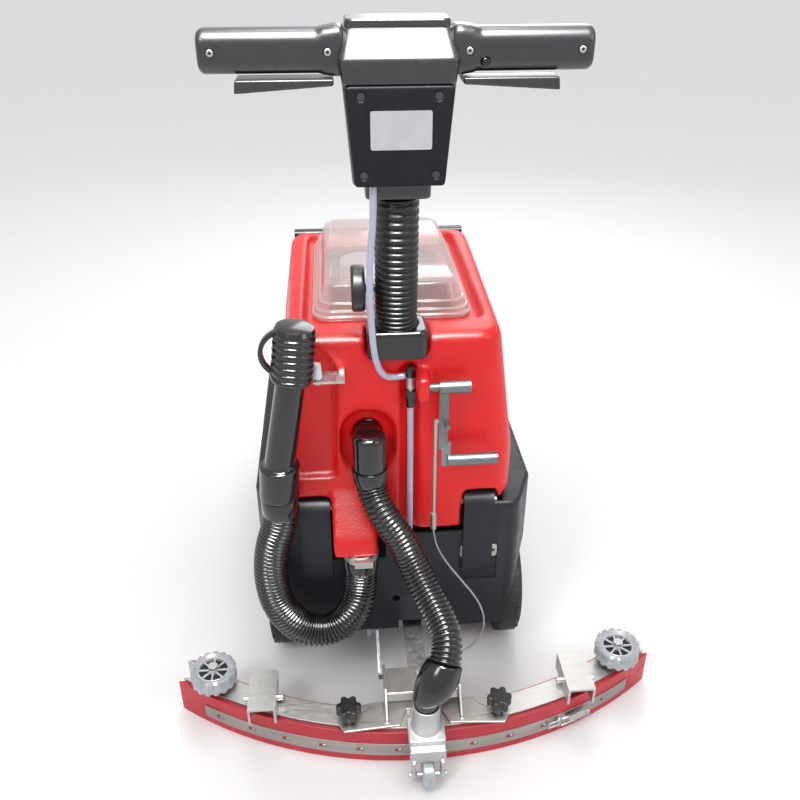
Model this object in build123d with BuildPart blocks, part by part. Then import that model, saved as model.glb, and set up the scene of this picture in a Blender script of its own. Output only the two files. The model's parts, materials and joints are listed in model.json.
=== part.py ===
from build123d import *
import os
from math import cos, pi, radians, sin, sqrt, tan

# Walk-behind floor scrubber. X to the right as the operator sees it, +Y the way it drives,
# +Z up, millimetres, origin on the floor under the middle of the machine.
os.makedirs("parts", exist_ok=True)

# Driving dimensions
running_gap = 0.06        # radial clearance of a pin in its bore
wall = 5                  # moulded wall

base_rear, base_front = -254, 520
base_bottom, base_top = 98, 372
base_half_rear, base_half_mid, base_half_front = 206, 240, 222
wheel_radius, wheel_width, wheel_track, axle_y = 115, 48, 210, -130

tank_rear, tank_bottom, tank_top = -259, 377, 690
tank_hinge_y, tank_hinge_z = -236, 366
ear_inner, ear_outer, ear_radius = 112, 163, 26

lid_top, lid_half, lid_rear, lid_front = 734, 128, -172, 196
column_y, knob_z, column_lean = -240, 760, 4
grip_y, grip_z, grip_inner, grip_outer = -272, 1087, 76.5, 243

brush_y, brush_radius = 155, 215
squeegee_x = 30           # the squeegee stands this far right of the middle plane
blade_radius, blade_center_y, blade_half_span = 694, 232, 418
blade_height, blade_thickness = 64, 7
arm_x, arm_z, arm_pivot_y, swing_y = 28, 87, -205, -372
nozzle_y, nozzle_radius = -466, 22.5


def rounded_outline(corners, radius):
    """Closed outline through the corners, each rounded."""
    with BuildSketch() as outline:
        with BuildLine():
            Polyline(*corners, close=True)
        make_face()
        fillet(outline.vertices(), radius)
    return outline.sketch


def flared_outline(rear_y, front_y, rear_half, front_half, corner):
    """Four-cornered plan, wider or narrower at the front, with rounded corners."""
    corners = [(-rear_half, rear_y), (rear_half, rear_y), (front_half, front_y), (-front_half, front_y)]
    return rounded_outline(corners, corner)


def bend_radii(points):
    """Largest arc that each corner's two runs allow."""
    corners = [Vector(*point) for point in points]
    radii = []
    for before, corner, after in zip(corners, corners[1:], corners[2:]):
        turn = radians((corner - before).get_angle(after - corner))
        shorter = min((corner - before).length, (after - corner).length)
        radii.append(0.45 * shorter / tan(turn / 2))
    return radii


def arc_band(inner, outer, half_span):
    """Ring sector about the squeegee's arc centre, open towards the front."""
    edge = sqrt(outer**2 - half_span**2)
    with BuildSketch() as band:
        with Locations((squeegee_x, blade_center_y)):
            Circle(outer)
            Circle(inner, mode=Mode.SUBTRACT)
        with Locations((squeegee_x, blade_center_y - edge)):
            Rectangle(2 * half_span, outer, align=(Align.CENTER, Align.MAX), mode=Mode.INTERSECT)
    return band.sketch


def arc_point_y(radius, offset):
    """Y of a point on a squeegee arc, offset sideways from the squeegee's middle."""
    return blade_center_y - sqrt(radius**2 - offset**2)


def tank_block(inset, bottom_wall, top_wall):
    """The tank's flat-sided body, drawn in by the given walls."""
    flank_lean, flank_flare, flank_kink_z, flank_kink_x = 0.136, 0.0197, 470, 190
    with BuildPart(mode=Mode.PRIVATE) as block:
        with BuildSketch(Plane.YZ):
            with BuildLine():
                Polyline(
                    (tank_rear + inset, tank_bottom + bottom_wall), (tank_rear + inset, tank_top - top_wall),
                    (228 - inset * 0.6, tank_top - top_wall), (402 - inset, flank_kink_z),
                    (420 - inset, tank_bottom + bottom_wall), close=True)
            make_face()
        extrude(amount=230, both=True)
        for side in (-1, 1):
            for lean in (0, flank_lean):
                flank = Plane(
                    origin=(side * (flank_kink_x - inset * 0.7), tank_rear, flank_kink_z),
                    x_dir=(side * flank_flare, 1, 0), z_dir=(side, -flank_flare, lean))
                split(bisect_by=flank, keep=Keep.BOTTOM)
    return block.part


# ---------------------------------------------------------------- base housing
ear_middle, ear_width = (ear_inner + ear_outer) / 2, ear_outer - ear_inner
plan = [
    (-base_half_rear, base_rear), (base_half_rear, base_rear), (base_half_mid, -170),
    (base_half_mid, 300), (base_half_front, base_front), (-base_half_front, base_front),
    (-base_half_mid, 300), (-base_half_mid, -170)]
with BuildPart() as base_housing:
    with BuildSketch(Plane.XY.offset(base_bottom)):
        add(rounded_outline(plan, 28))
    extrude(amount=base_top - base_bottom)
    fillet(base_housing.faces().sort_by(Axis.Z)[-1].edges(), 7)
    with BuildSketch(Plane.XY.offset(base_bottom)):
        add(rounded_outline(plan, 28))
        offset(amount=-wall)
    extrude(amount=base_top - base_bottom - 12, mode=Mode.SUBTRACT)
    with BuildSketch(Plane.XY.offset(base_top - 12)):
        add(flared_outline(base_rear + 20, 330, 178, 190, 30))
    extrude(amount=12, mode=Mode.SUBTRACT)
    for side in (-1, 1):
        with BuildSketch(Plane.YZ.offset(side * ear_middle - ear_width / 2)):
            with Locations((tank_hinge_y, tank_hinge_z)):
                Circle(ear_radius)
            with Locations((tank_hinge_y, tank_hinge_z)):
                Rectangle(2 * ear_radius, 136, align=(Align.CENTER, Align.MAX))
        extrude(amount=ear_width)
        with BuildSketch(Plane.YZ.offset(side * 225)):
            with Locations((axle_y, wheel_radius)):
                Circle(wheel_radius + 12)
        extrude(amount=30, both=True, mode=Mode.SUBTRACT)
    # sloping lower edges of the ears run into the rear wall
    rear_edges = base_housing.edges().filter_by(Axis.X).filter_by_position(Axis.Z, 225, 235)
    chamfer(rear_edges.filter_by_position(Axis.Y, -263, -261), 7.5)
    with BuildSketch(Plane.YZ.offset(-ear_outer - 1)):
        with Locations((tank_hinge_y, tank_hinge_z)):
            Circle(6 + running_gap)
    extrude(amount=2 * ear_outer + 2, mode=Mode.SUBTRACT)
    for side in (-1, 1):
        with BuildSketch(Plane.YZ.offset(side * (ear_outer + 8) - 8)):
            with Locations((tank_hinge_y, tank_hinge_z)):
                Circle(13)
        extrude(amount=16, mode=Mode.SUBTRACT)
    # room for the tank's skirt as it tips back, and for the squeegee arm
    with Locations((-ear_inner, base_rear, 266)):
        Box(ear_inner - 20, 40, 140, align=(Align.MIN, Align.CENTER, Align.MIN), mode=Mode.SUBTRACT)
    with Locations((-20, base_rear, 315)):
        Box(ear_inner + 20, 40, 90, align=(Align.MIN, Align.CENTER, Align.MIN), mode=Mode.SUBTRACT)
    with Locations((arm_x, base_rear, base_bottom)):
        Box(52, 40, 18, align=(Align.CENTER, Align.CENTER, Align.MIN), mode=Mode.SUBTRACT)
    # shallow recess under the latch plate, and the drain-cock hole
    with Locations((141, base_rear, 245)):
        Box(66, 5, 78, mode=Mode.SUBTRACT)
    with BuildSketch(Plane.XZ.offset(-base_rear)):
        with Locations((-2, 170)):
            Circle(7)
    extrude(amount=10, both=True, mode=Mode.SUBTRACT)
base_housing.part.label = "base_housing"
export_step(base_housing.part, "parts/base_housing.step")

# ---------------------------------------------------------------- chassis
rail_x, rail_z = 130, 150
with BuildPart() as chassis_frame:
    for side in (-1, 1):
        with Locations((side * rail_x, 130, rail_z)):
            Box(26, 740, 30)
    for cross_y, cross_z in ((-225, rail_z), (-40, rail_z), (420, rail_z), (475, rail_z)):
        with Locations((0, cross_y, cross_z)):
            Box(2 * rail_x, 24, 30)
    with Locations((0, -40, 168)):
        Box(344, 265, 6)
    for hanger in (-1, 1):
        with BuildSketch(Plane.YZ.offset(arm_x + hanger * 21.5 - 4)):
            with Locations((-212, 110)):
                Rectangle(44, 66)
        extrude(amount=8)
    with BuildSketch(Plane.XY.offset(112)):
        with Locations((0, 448)):
            RectangleRounded(100, 84, 8)
    extrude(amount=24)
    with BuildSketch(Plane.XY.offset(111)):
        with Locations((0, 448)):
            Circle(8 + running_gap)
    extrude(amount=20, mode=Mode.SUBTRACT)
    with BuildSketch(Plane.YZ.offset(-60)):
        with Locations((arm_pivot_y, arm_z)):
            Circle(5 + running_gap)
    extrude(amount=140, mode=Mode.SUBTRACT)
    for side in (-1, 1):
        with Locations((side * 172, axle_y, rail_z)):
            Box(10, 60, 90)
        with Locations((side * 155, axle_y, rail_z)):
            Box(30, 60, 12)
    with BuildSketch(Plane.YZ.offset(-200)):
        with Locations((axle_y, wheel_radius)):
            Circle(10 + running_gap)
    extrude(amount=400, mode=Mode.SUBTRACT)
chassis_frame.part.label = "chassis_frame"
export_step(chassis_frame.part, "parts/chassis_frame.step")

with BuildPart() as batteries:
    for side in (-1, 1):
        with Locations((side * 84, -40, 171.5)):
            Box(162, 240, 175, align=(Align.CENTER, Align.CENTER, Align.MIN))
    fillet(batteries.edges().filter_by(Axis.Z), 6)
    for side in (-1, 1):
        with BuildSketch(Plane.XY.offset(346)):
            with Locations((side * 84 - 50, 50), (side * 84 + 50, 50)):
                Circle(8)
        extrude(amount=14)
batteries.part.label = "batteries"
export_step(batteries.part, "parts/batteries.step")

with BuildPart() as drive_unit:
    with BuildSketch(Plane.YZ.offset(-62)):
        with Locations((axle_y, wheel_radius)):
            Circle(34)
    extrude(amount=124)
    with Locations((0, axle_y, wheel_radius)):
        Box(46, 78, 78)
    fillet(drive_unit.edges().filter_by(Axis.X), 4)
    with BuildSketch(Plane.YZ.offset(-wheel_track - wheel_width / 2 - 2)):
        with Locations((axle_y, wheel_radius)):
            Circle(10)
    extrude(amount=2 * wheel_track + wheel_width + 4)
drive_unit.part.label = "drive_unit"
export_step(drive_unit.part, "parts/drive_unit.step")

# wheels turn on the ends of the fixed axle
for name, side in (("drive_wheel_left", -1), ("drive_wheel_right", 1)):
    with BuildPart() as drive_wheel:
        with BuildSketch(Plane.YZ.offset(side * wheel_track - wheel_width / 2)):
            with Locations((axle_y, wheel_radius)):
                Circle(wheel_radius)
                Circle(10 + running_gap, mode=Mode.SUBTRACT)
        extrude(amount=wheel_width)
        rims = drive_wheel.edges().filter_by(GeomType.CIRCLE).group_by(SortBy.RADIUS)[-1]
        fillet(rims, 9)
        for face_x in (side * wheel_track - wheel_width / 2, side * wheel_track + wheel_width / 2):
            with BuildSketch(Plane.YZ.offset(face_x)):
                with Locations((axle_y, wheel_radius)):
                    Circle(72)
                    Circle(24, mode=Mode.SUBTRACT)
            extrude(amount=8, both=True, mode=Mode.SUBTRACT)
    drive_wheel.part.label = name
    export_step(drive_wheel.part, f"parts/{name}.step")

# ---------------------------------------------------------------- front castor
castor_y, castor_radius, castor_trail = 448, 33, 22
with BuildPart() as castor_fork:
    with BuildSketch(Plane.XY.offset(74)):
        with Locations((0, castor_y)):
            Circle(24)
    extrude(amount=37.5)
    with BuildSketch(Plane.XY.offset(111)):
        with Locations((0, castor_y)):
            Circle(8)
    extrude(amount=18)
    for side in (-1, 1):
        with BuildSketch(Plane.YZ.offset(side * 18 - 2)):
            with BuildLine():
                Polyline((castor_y - 18, 80), (castor_y + 18, 80),
                         (castor_y - castor_trail + 10, castor_radius - 8),
                         (castor_y - castor_trail - 10, castor_radius - 8), close=True)
            make_face()
        extrude(amount=4)
    with BuildSketch(Plane.YZ.offset(-20)):
        with Locations((castor_y - castor_trail, castor_radius)):
            Circle(5)
    extrude(amount=40)
castor_fork.part.label = "castor_fork"
export_step(castor_fork.part, "parts/castor_fork.step")

with BuildPart() as castor_wheel:
    with BuildSketch(Plane.YZ.offset(-14)):
        with Locations((castor_y - castor_trail, castor_radius)):
            Circle(castor_radius)
            Circle(5 + running_gap, mode=Mode.SUBTRACT)
    extrude(amount=28)
    fillet(castor_wheel.edges().filter_by(GeomType.CIRCLE).group_by(SortBy.RADIUS)[-1], 5)
castor_wheel.part.label = "castor_wheel"
export_step(castor_wheel.part, "parts/castor_wheel.step")

# ---------------------------------------------------------------- brush deck
with BuildPart() as brush_deck:
    with BuildSketch(Plane.XY.offset(54)):
        with Locations((0, brush_y)):
            Circle(brush_radius + 8)
            Circle(12, mode=Mode.SUBTRACT)
    extrude(amount=14)
    with BuildSketch(Plane.XY.offset(34)):
        with Locations((0, brush_y)):
            Circle(brush_radius + 8)
            Circle(brush_radius + 4, mode=Mode.SUBTRACT)
    extrude(amount=20)
    with BuildSketch(Plane.XY.offset(68)):
        with Locations((0, brush_y)):
            Circle(70)
            Circle(50, mode=Mode.SUBTRACT)
    extrude(amount=10)
brush_deck.part.label = "brush_deck"
export_step(brush_deck.part, "parts/brush_deck.step")

with BuildPart() as brush_motor:
    with BuildSketch(Plane.XY.offset(78)):
        with Locations((0, brush_y)):
            Circle(58)
    extrude(amount=150)
    fillet(brush_motor.faces().sort_by(Axis.Z)[-1].edges(), 10)
    with BuildSketch(Plane.XY.offset(46)):
        with Locations((0, brush_y)):
            Circle(10)
    extrude(amount=34)
brush_motor.part.label = "brush_motor"
export_step(brush_motor.part, "parts/brush_motor.step")

with BuildPart() as disc_brush:
    with BuildSketch(Plane.XY.offset(34)):
        with Locations((0, brush_y)):
            Circle(brush_radius)
            Circle(10 + running_gap, mode=Mode.SUBTRACT)
    extrude(amount=15)
    with BuildSketch(Plane.XY):
        with Locations((0, brush_y)):
            Circle(brush_radius - 2)
            Circle(90, mode=Mode.SUBTRACT)
    extrude(amount=34)
disc_brush.part.label = "disc_brush"
export_step(disc_brush.part, "parts/disc_brush.step")

with BuildPart() as splash_skirt:
    with BuildSketch(Plane.XY.offset(6)):
        with Locations((0, brush_y)):
            Circle(brush_radius + 11.5)
            Circle(brush_radius + 8 + 0.2, mode=Mode.SUBTRACT)
    extrude(amount=56)
splash_skirt.part.label = "splash_skirt"
export_step(splash_skirt.part, "parts/splash_skirt.step")

# foot pedal that raises the deck: a bent flat bar behind the base
pedal_y, pedal_z = -240, 90
with BuildPart() as deck_pedal:
    with BuildSketch(Plane.YZ.offset(-46)):
        with Locations((pedal_y, pedal_z)):
            Circle(10)
    extrude(amount=12)
    with BuildSketch(Plane.YZ.offset(-40)):
        with BuildLine():
            Polyline((pedal_y - 4, pedal_z + 6), (pedal_y - 4, pedal_z - 6), (-330, 58), (-330, 70), close=True)
        make_face()
    extrude(amount=5)
    with Locations((3, -330, 64)):
        Box(86, 12, 12)
    with BuildSketch(Plane.YZ.offset(-60)):
        with Locations((pedal_y, pedal_z)):
            Circle(5 + running_gap)
    extrude(amount=40, mode=Mode.SUBTRACT)
deck_pedal.part.label = "deck_pedal"
export_step(deck_pedal.part, "parts/deck_pedal.step")

with BuildPart() as rear_plates:
    with BuildSketch(Plane.XZ.offset(-base_rear - 2.3)):
        with Locations((141, 270)):
            RectangleRounded(64, 26, 5)
            with Locations((-26, 0), (26, 0)):
                Circle(3, mode=Mode.SUBTRACT)
    extrude(amount=2.5)
    with Locations((-52, pedal_y + 5, pedal_z + 3)):
        Box(8, 26, 36)
    with Locations((-38, pedal_y + 5, 122)):
        Box(36, 18, 26)
    with BuildSketch(Plane.YZ.offset(-60)):
        with Locations((pedal_y, pedal_z)):
            Circle(5 + running_gap)
    extrude(amount=14, mode=Mode.SUBTRACT)
rear_plates.part.label = "rear_plates"
export_step(rear_plates.part, "parts/rear_plates.step")

with BuildPart() as hinge_bolts:
    for side in (-1, 1):
        with BuildSketch(Plane.YZ.offset(side * 126 - 37.5)):
            with Locations((tank_hinge_y, tank_hinge_z)):
                Circle(6)
        extrude(amount=82)
        with BuildSketch(Plane.YZ.offset(side * (ear_outer + 3.2) - 3)):
            with Locations((tank_hinge_y, tank_hinge_z)):
                Circle(11)
        extrude(amount=6)
    with BuildSketch(Plane.YZ.offset(arm_x - 27)):
        with Locations((arm_pivot_y, arm_z)):
            Circle(5)
    extrude(amount=54)
    with BuildSketch(Plane.YZ.offset(-59)):
        with Locations((pedal_y, pedal_z)):
            Circle(5)
    extrude(amount=27)
hinge_bolts.part.label = "hinge_bolts"
export_step(hinge_bolts.part, "parts/hinge_bolts.step")

# ---------------------------------------------------------------- tank
with BuildPart() as tank_shell:
    add(tank_block(0, 0, 0))
    upright = tank_shell.edges().filter_by(lambda edge: abs(edge.tangent_at(0.5).Z) > 0.6)
    fillet(upright, 40)
    fillet(tank_shell.faces().sort_by(Axis.Z)[-1].edges(), 18)
    fillet(tank_shell.faces().sort_by(Axis.Z)[0].edges(), 8)
    # skirt between the hinge ears, with its hinge barrels
    with BuildSketch(Plane.YZ.offset(-108)):
        with BuildLine():
            Polyline((tank_rear, 420), (tank_rear, 330), (tank_rear + 5, 325), (tank_rear + 14, 325),
                     (tank_rear + 14, 345), (-214, 354), (-214, 420), close=True)
        make_face()
    extrude(amount=216)
    # drain bulge at the lower left and the shaft boss at the upper right
    with BuildSketch(Plane.YZ.offset(-108)):
        with BuildLine():
            Polyline((tank_rear + 1, 425), (tank_rear - 57, 350), (tank_rear - 57, 318),
                     (tank_rear + 1, 318), close=True)
        make_face()
    extrude(amount=72)
    with Locations((37, tank_rear + 10, 617)):
        Box(20, 54, 42, align=(Align.CENTER, Align.MAX, Align.CENTER))
    # dirty-water chamber
    add(tank_block(24, 8, 30), mode=Mode.SUBTRACT)
    # lid seat: a shallow pocket with the opening inside it
    with BuildSketch(Plane.XY.offset(676)):
        add(flared_outline(-200, 206, 140, 138, 26))
    extrude(amount=30, mode=Mode.SUBTRACT)
    with BuildSketch(Plane.XY.offset(640)):
        add(flared_outline(-140, 170, 98, 98, 22))
    extrude(amount=50, mode=Mode.SUBTRACT)
    # seat of the column foot over the rear edge
    with BuildSketch(Plane.XY.offset(657)):
        with Locations((0, -239)):
            RectangleRounded(92, 72, 15)
    extrude(amount=60, mode=Mode.SUBTRACT)
    # corner recess for the drain pipe
    with BuildSketch(Plane.XZ.offset(-tank_rear)):
        with BuildLine():
            Polyline((-230, 440), (-98, 440), (-92, 640), (-104, 662), (-130, 676), (-230, 690), close=True)
        make_face()
    extrude(amount=-18, mode=Mode.SUBTRACT)
    # oval recess round the suction port, and the channel of the level hose
    with BuildSketch(Plane.XZ.offset(-tank_rear)):
        with Locations((-47, 507)):
            RectangleRounded(88, 112, 43)
    extrude(amount=-17, taper=12, mode=Mode.SUBTRACT)
    with BuildSketch(Plane.XZ.offset(-tank_rear)):
        with Locations((20, 480)):
            RectangleRounded(30, 326, 8)
    extrude(amount=-9, mode=Mode.SUBTRACT)
    with BuildSketch(Plane.XZ.offset(-tank_rear)):
        with Locations((-47, 515)):
            Circle(22.3)
    extrude(amount=-30, mode=Mode.SUBTRACT)
    # notch of the front bar
    with Locations((0, 242, 684)):
        Box(344, 40, 40, mode=Mode.SUBTRACT)
    # bores: hinge bolts, lever shaft, drain spigot
    with BuildSketch(Plane.YZ.offset(-110)):
        with Locations((tank_hinge_y, tank_hinge_z)):
            Circle(6 + running_gap)
    extrude(amount=220, mode=Mode.SUBTRACT)
    with BuildSketch(Plane.YZ.offset(28.7)):
        with Locations((-288, 617)):
            Circle(6 + running_gap)
    extrude(amount=20, mode=Mode.SUBTRACT)
    # relief behind the hinge line, so that the tank can tip back
    for side in (-1, 1):
        with BuildSketch(Plane.YZ.offset(side * (ear_outer + 22) - 25)):
            with Locations((tank_hinge_y, tank_hinge_z)):
                Circle(21.5)
        extrude(amount=50, mode=Mode.SUBTRACT)
    # hinge ears of the base stand in these notches
    for side in (-1, 1):
        with Locations((side * ear_middle, tank_rear - 10, tank_bottom - 60)):
            Box(ear_width + 6, 90, 84, align=(Align.CENTER, Align.MIN, Align.MIN), mode=Mode.SUBTRACT)
tank_shell.part.label = "tank_shell"
export_step(tank_shell.part, "parts/tank_shell.step")

with BuildPart() as suction_motor:
    with BuildSketch(Plane.XY.offset(tank_bottom + 9)):
        with Locations((0, 300)):
            Circle(56)
    extrude(amount=70)
    with BuildSketch(Plane.XY.offset(tank_bottom + 79)):
        with Locations((0, 300)):
            Circle(40)
    extrude(amount=40)
suction_motor.part.label = "suction_motor"
export_step(suction_motor.part, "parts/suction_motor.step")

with BuildPart() as float_filter:
    with BuildSketch(Plane.XY.offset(tank_bottom + 8.3)):
        with Locations((-40, 60)):
            Circle(12)
    extrude(amount=245)
    with BuildSketch(Plane.XY.offset(600)):
        with Locations((-40, 60)):
            Circle(40)
    extrude(amount=92)
    fillet(float_filter.edges().filter_by(GeomType.CIRCLE).group_by(SortBy.RADIUS)[-1], 4)
float_filter.part.label = "float_filter"
export_step(float_filter.part, "parts/float_filter.step")

with BuildPart() as dome_lid:
    with BuildSketch(Plane.XY.offset(676.3)):
        add(flared_outline(lid_rear, lid_front, lid_half, lid_half - 2, 26))
    extrude(amount=6)
    with BuildSketch(Plane.XY.offset(682.3)):
        add(flared_outline(lid_rear + 8, lid_front - 8, lid_half - 8, lid_half - 10, 22))
    with BuildSketch(Plane.XY.offset(lid_top)):
        add(flared_outline(lid_rear + 26, lid_front - 22, lid_half - 20, lid_half - 24, 20))
    loft()
    fillet(dome_lid.faces().sort_by(Axis.Z)[-1].edges(), 8)
    with BuildSketch(Plane.XY.offset(676.3)):
        add(flared_outline(lid_rear + 14, lid_front - 14, lid_half - 14, lid_half - 16, 18))
    with BuildSketch(Plane.XY.offset(lid_top - 4)):
        add(flared_outline(lid_rear + 32, lid_front - 28, lid_half - 25, lid_half - 29, 16))
    loft(mode=Mode.SUBTRACT)
dome_lid.part.label = "dome_lid"
export_step(dome_lid.part, "parts/dome_lid.step")

with BuildPart() as front_bar:
    with Locations((0, 237, 677)):
        Box(330, 22, 24)
    fillet(front_bar.edges().filter_by(Axis.X), 6)
front_bar.part.label = "front_bar"
export_step(front_bar.part, "parts/front_bar.step")

# ---------------------------------------------------------------- column
# The column leans back a little; its clamp pivot sits on the lean line.
column = Plane(
    origin=(0, column_y, knob_z), x_dir=(1, 0, 0),
    z_dir=(0, -sin(radians(column_lean)), cos(radians(column_lean))))
bellows_radius, bellows_bottom, bellows_top = 31, 703, 903

with BuildPart() as column_foot:
    with BuildSketch(Plane.XY.offset(657.3)):
        with Locations((0, -239)):
            RectangleRounded(91, 71, 14.5)
    extrude(amount=45)
    fillet(column_foot.faces().sort_by(Axis.Z)[-1].edges(), 7)
    with BuildSketch(Plane.XY.offset(690)):
        with Locations((0, column_y + 4.5)):
            Circle(bellows_radius + 1.5)
    extrude(amount=20, mode=Mode.SUBTRACT)
    with BuildSketch(Plane.XY.offset(680)):
        with Locations((0, column_y + 3)):
            Circle(11)
    extrude(amount=72)
    with BuildSketch(Plane.YZ.offset(-12)):
        with Locations((column_y, knob_z)):
            Circle(15)
    extrude(amount=24)
    with BuildSketch(Plane.YZ.offset(-20)):
        with Locations((column_y, knob_z)):
            Circle(6 + running_gap)
    extrude(amount=40, mode=Mode.SUBTRACT)
column_foot.part.label = "column_foot"
export_step(column_foot.part, "parts/column_foot.step")

with BuildPart() as column_tube:
    for side in (-1, 1):
        with BuildSketch(Plane.YZ.offset(side * 15 - 2.5)):
            with Locations((column_y, knob_z)):
                Circle(15)
            with Locations(Location((column_y, knob_z), column_lean)):
                Rectangle(30, 38, align=(Align.CENTER, Align.MIN))
        extrude(amount=5)
    with BuildSketch(column.offset(22)):
        Circle(19)
    extrude(amount=130)
    with BuildSketch(Plane.YZ.offset(-30)):
        with Locations((column_y, knob_z)):
            Circle(6 + running_gap)
    extrude(amount=60, mode=Mode.SUBTRACT)
column_tube.part.label = "column_tube"
export_step(column_tube.part, "parts/column_tube.step")

with BuildPart() as bellows:
    with BuildSketch(column.offset(bellows_bottom - knob_z - 9)):
        Circle(bellows_radius)
        Circle(bellows_radius - 7, mode=Mode.SUBTRACT)
    extrude(amount=bellows_top - bellows_bottom)
    with BuildSketch(Plane.YZ.offset(-60)):
        with Locations((column_y, knob_z)):
            Circle(7)
    extrude(amount=60, mode=Mode.SUBTRACT)
bellows.part.label = "bellows"
export_step(bellows.part, "parts/bellows.step")

with BuildPart() as tilt_knob:
    with BuildSketch(Plane.YZ.offset(-66)):
        with Locations((column_y, knob_z)):
            Circle(34)
    extrude(amount=20)
    fillet(tilt_knob.edges(), 4)
    with BuildSketch(Plane.YZ.offset(-46)):
        with Locations((column_y, knob_z)):
            Circle(6)
    extrude(amount=66)
tilt_knob.part.label = "tilt_knob"
export_step(tilt_knob.part, "parts/tilt_knob.step")

# ---------------------------------------------------------------- handle
housing_bottom, housing_band, housing_shoulder, housing_top = 926, 1052, 1080, 1113
housing_rear, housing_front = -311, -206
with BuildPart() as handle_housing:
    with BuildSketch(Plane.XY.offset(housing_bottom)):
        with Locations((0, -262)):
            RectangleRounded(121, 84, 10)
    with BuildSketch(Plane.XY.offset(housing_band)):
        with Locations((0, (housing_rear + housing_front) / 2)):
            RectangleRounded(141, housing_front - housing_rear, 12)
    with BuildSketch(Plane.XY.offset(housing_shoulder)):
        with Locations((0, (housing_rear + housing_front) / 2)):
            RectangleRounded(150, housing_front - housing_rear, 12)
    loft(ruled=True)
    with BuildSketch(Plane.XY.offset(housing_shoulder)):
        with Locations((0, (housing_rear + housing_front) / 2)):
            RectangleRounded(150, housing_front - housing_rear, 12)
    with BuildSketch(Plane.XY.offset(housing_top)):
        with Locations((0, -254)):
            RectangleRounded(134, 66, 12)
    loft()
    with BuildSketch(Plane.XY.offset(902)):
        with Locations((0, -254)):
            RectangleRounded(88, 66, 9)
    extrude(amount=28)
    # electronics bay behind the cover plate
    with Locations((0, -265, 1000)):
        Box(104, 66, 120, mode=Mode.SUBTRACT)
    with Locations((0, -300, 992)):
        Box(100, 40, 96, mode=Mode.SUBTRACT)
    # flat seat of the cover plate
    with Locations((0, housing_rear, housing_bottom)):
        Box(160, 13, housing_band - housing_bottom - 1.5,
            align=(Align.CENTER, Align.CENTER, Align.MIN), mode=Mode.SUBTRACT)
    with BuildSketch(column.offset(100)):
        Circle(19.2)
    extrude(amount=53, mode=Mode.SUBTRACT)
handle_housing.part.label = "handle_housing"
export_step(handle_housing.part, "parts/handle_housing.step")

cover_screws = [(-48, 1038), (48, 1038), (-46, 942), (46, 942)]
with BuildPart() as cover_plate:
    with BuildSketch(Plane.XZ.offset(304.7)):
        corners = [(-58, housing_bottom + 1), (58, housing_bottom + 1),
                   (68, housing_band - 2), (-68, housing_band - 2)]
        add(rounded_outline(corners, 5))
        with Locations(*cover_screws):
            Circle(3, mode=Mode.SUBTRACT)
    extrude(amount=8)
    chamfer(cover_plate.faces().sort_by(Axis.Y)[0].outer_wire().edges(), 1.5)
    with BuildSketch(Plane.XZ.offset(312.7)):
        with Locations(*cover_screws):
            Circle(5.5)
    extrude(amount=-4, mode=Mode.SUBTRACT)
cover_plate.part.label = "cover_plate"
export_step(cover_plate.part, "parts/cover_plate.step")

with BuildPart() as housing_lid:
    with BuildSketch(Plane.XY.offset(housing_top + 0.3)):
        with Locations((0, -254)):
            RectangleRounded(130, 62, 12)
    extrude(amount=9)
    chamfer(housing_lid.faces().sort_by(Axis.Z)[-1].outer_wire().edges(), 2)
housing_lid.part.label = "housing_lid"
export_step(housing_lid.part, "parts/housing_lid.step")

key_x, key_z = 44, 1066
with BuildPart() as key_switch:
    with BuildSketch(Plane.XZ.offset(-(housing_front + 0.3))):
        with Locations((key_x, key_z)):
            Circle(9)
    extrude(amount=-7)
    with Locations((key_x, housing_front + 7, key_z)):
        Box(14, 12, 3, align=(Align.CENTER, Align.MIN, Align.CENTER))
key_switch.part.label = "key_switch"
export_step(key_switch.part, "parts/key_switch.step")

with BuildPart() as grips:
    for side in (-1, 1):
        start = grip_inner if side > 0 else -grip_outer
        with BuildSketch(Plane.YZ.offset(start)):
            with Locations((grip_y, grip_z)):
                RectangleRounded(44, 52, 16)
        extrude(amount=grip_outer - grip_inner)
        fillet(grips.faces().sort_by(Axis.X)[-1 if side > 0 else 0].edges(), 9)
    with BuildSketch(Plane.XZ.offset(-grip_y)):
        with Locations((106, 1074)):
            Circle(5)
    extrude(amount=30, mode=Mode.SUBTRACT)
grips.part.label = "grips"
export_step(grips.part, "parts/grips.step")

with BuildPart() as horn_button:
    with BuildSketch(Plane.XZ.offset(-grip_y + 3)):
        with Locations((106, 1074)):
            Circle(4.6)
    extrude(amount=22)
    fillet(horn_button.faces().sort_by(Axis.Y)[0].edges(), 1.2)
horn_button.part.label = "horn_button"
export_step(horn_button.part, "parts/horn_button.step")

with BuildPart() as handle_screws:
    with BuildSketch(Plane.XZ.offset(306)):
        with Locations(*cover_screws):
            Circle(2.8)
    extrude(amount=3)
    with BuildSketch(Plane.XZ.offset(308.9)):
        with Locations(*cover_screws):
            Circle(5)
    extrude(amount=3)
handle_screws.part.label = "handle_screws"
export_step(handle_screws.part, "parts/handle_screws.step")

# drive paddles hang under the grips and swing up round their front edge
paddle_hinge_y, paddle_hinge_z, paddle_swing = -254, 1052, 5
for name, side in (("trigger_left", -1), ("trigger_right", 1)):
    near, far = side * 80, side * 200
    with BuildPart() as trigger:
        with BuildSketch(Plane.XZ.offset(262)):
            with BuildLine():
                Polyline((near, 1056), (far, 1056), (far + side * 2, 1040), (near, 1048), close=True)
            make_face()
        extrude(amount=34)
        with BuildSketch(Plane.YZ.offset(min(near, far))):
            with Locations((paddle_hinge_y, paddle_hinge_z)):
                Circle(4)
            with Locations((-259, paddle_hinge_z)):
                Rectangle(10, 6)
        extrude(amount=120)
    trigger.part.label = name
    export_step(trigger.part, f"parts/{name}.step")

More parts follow.
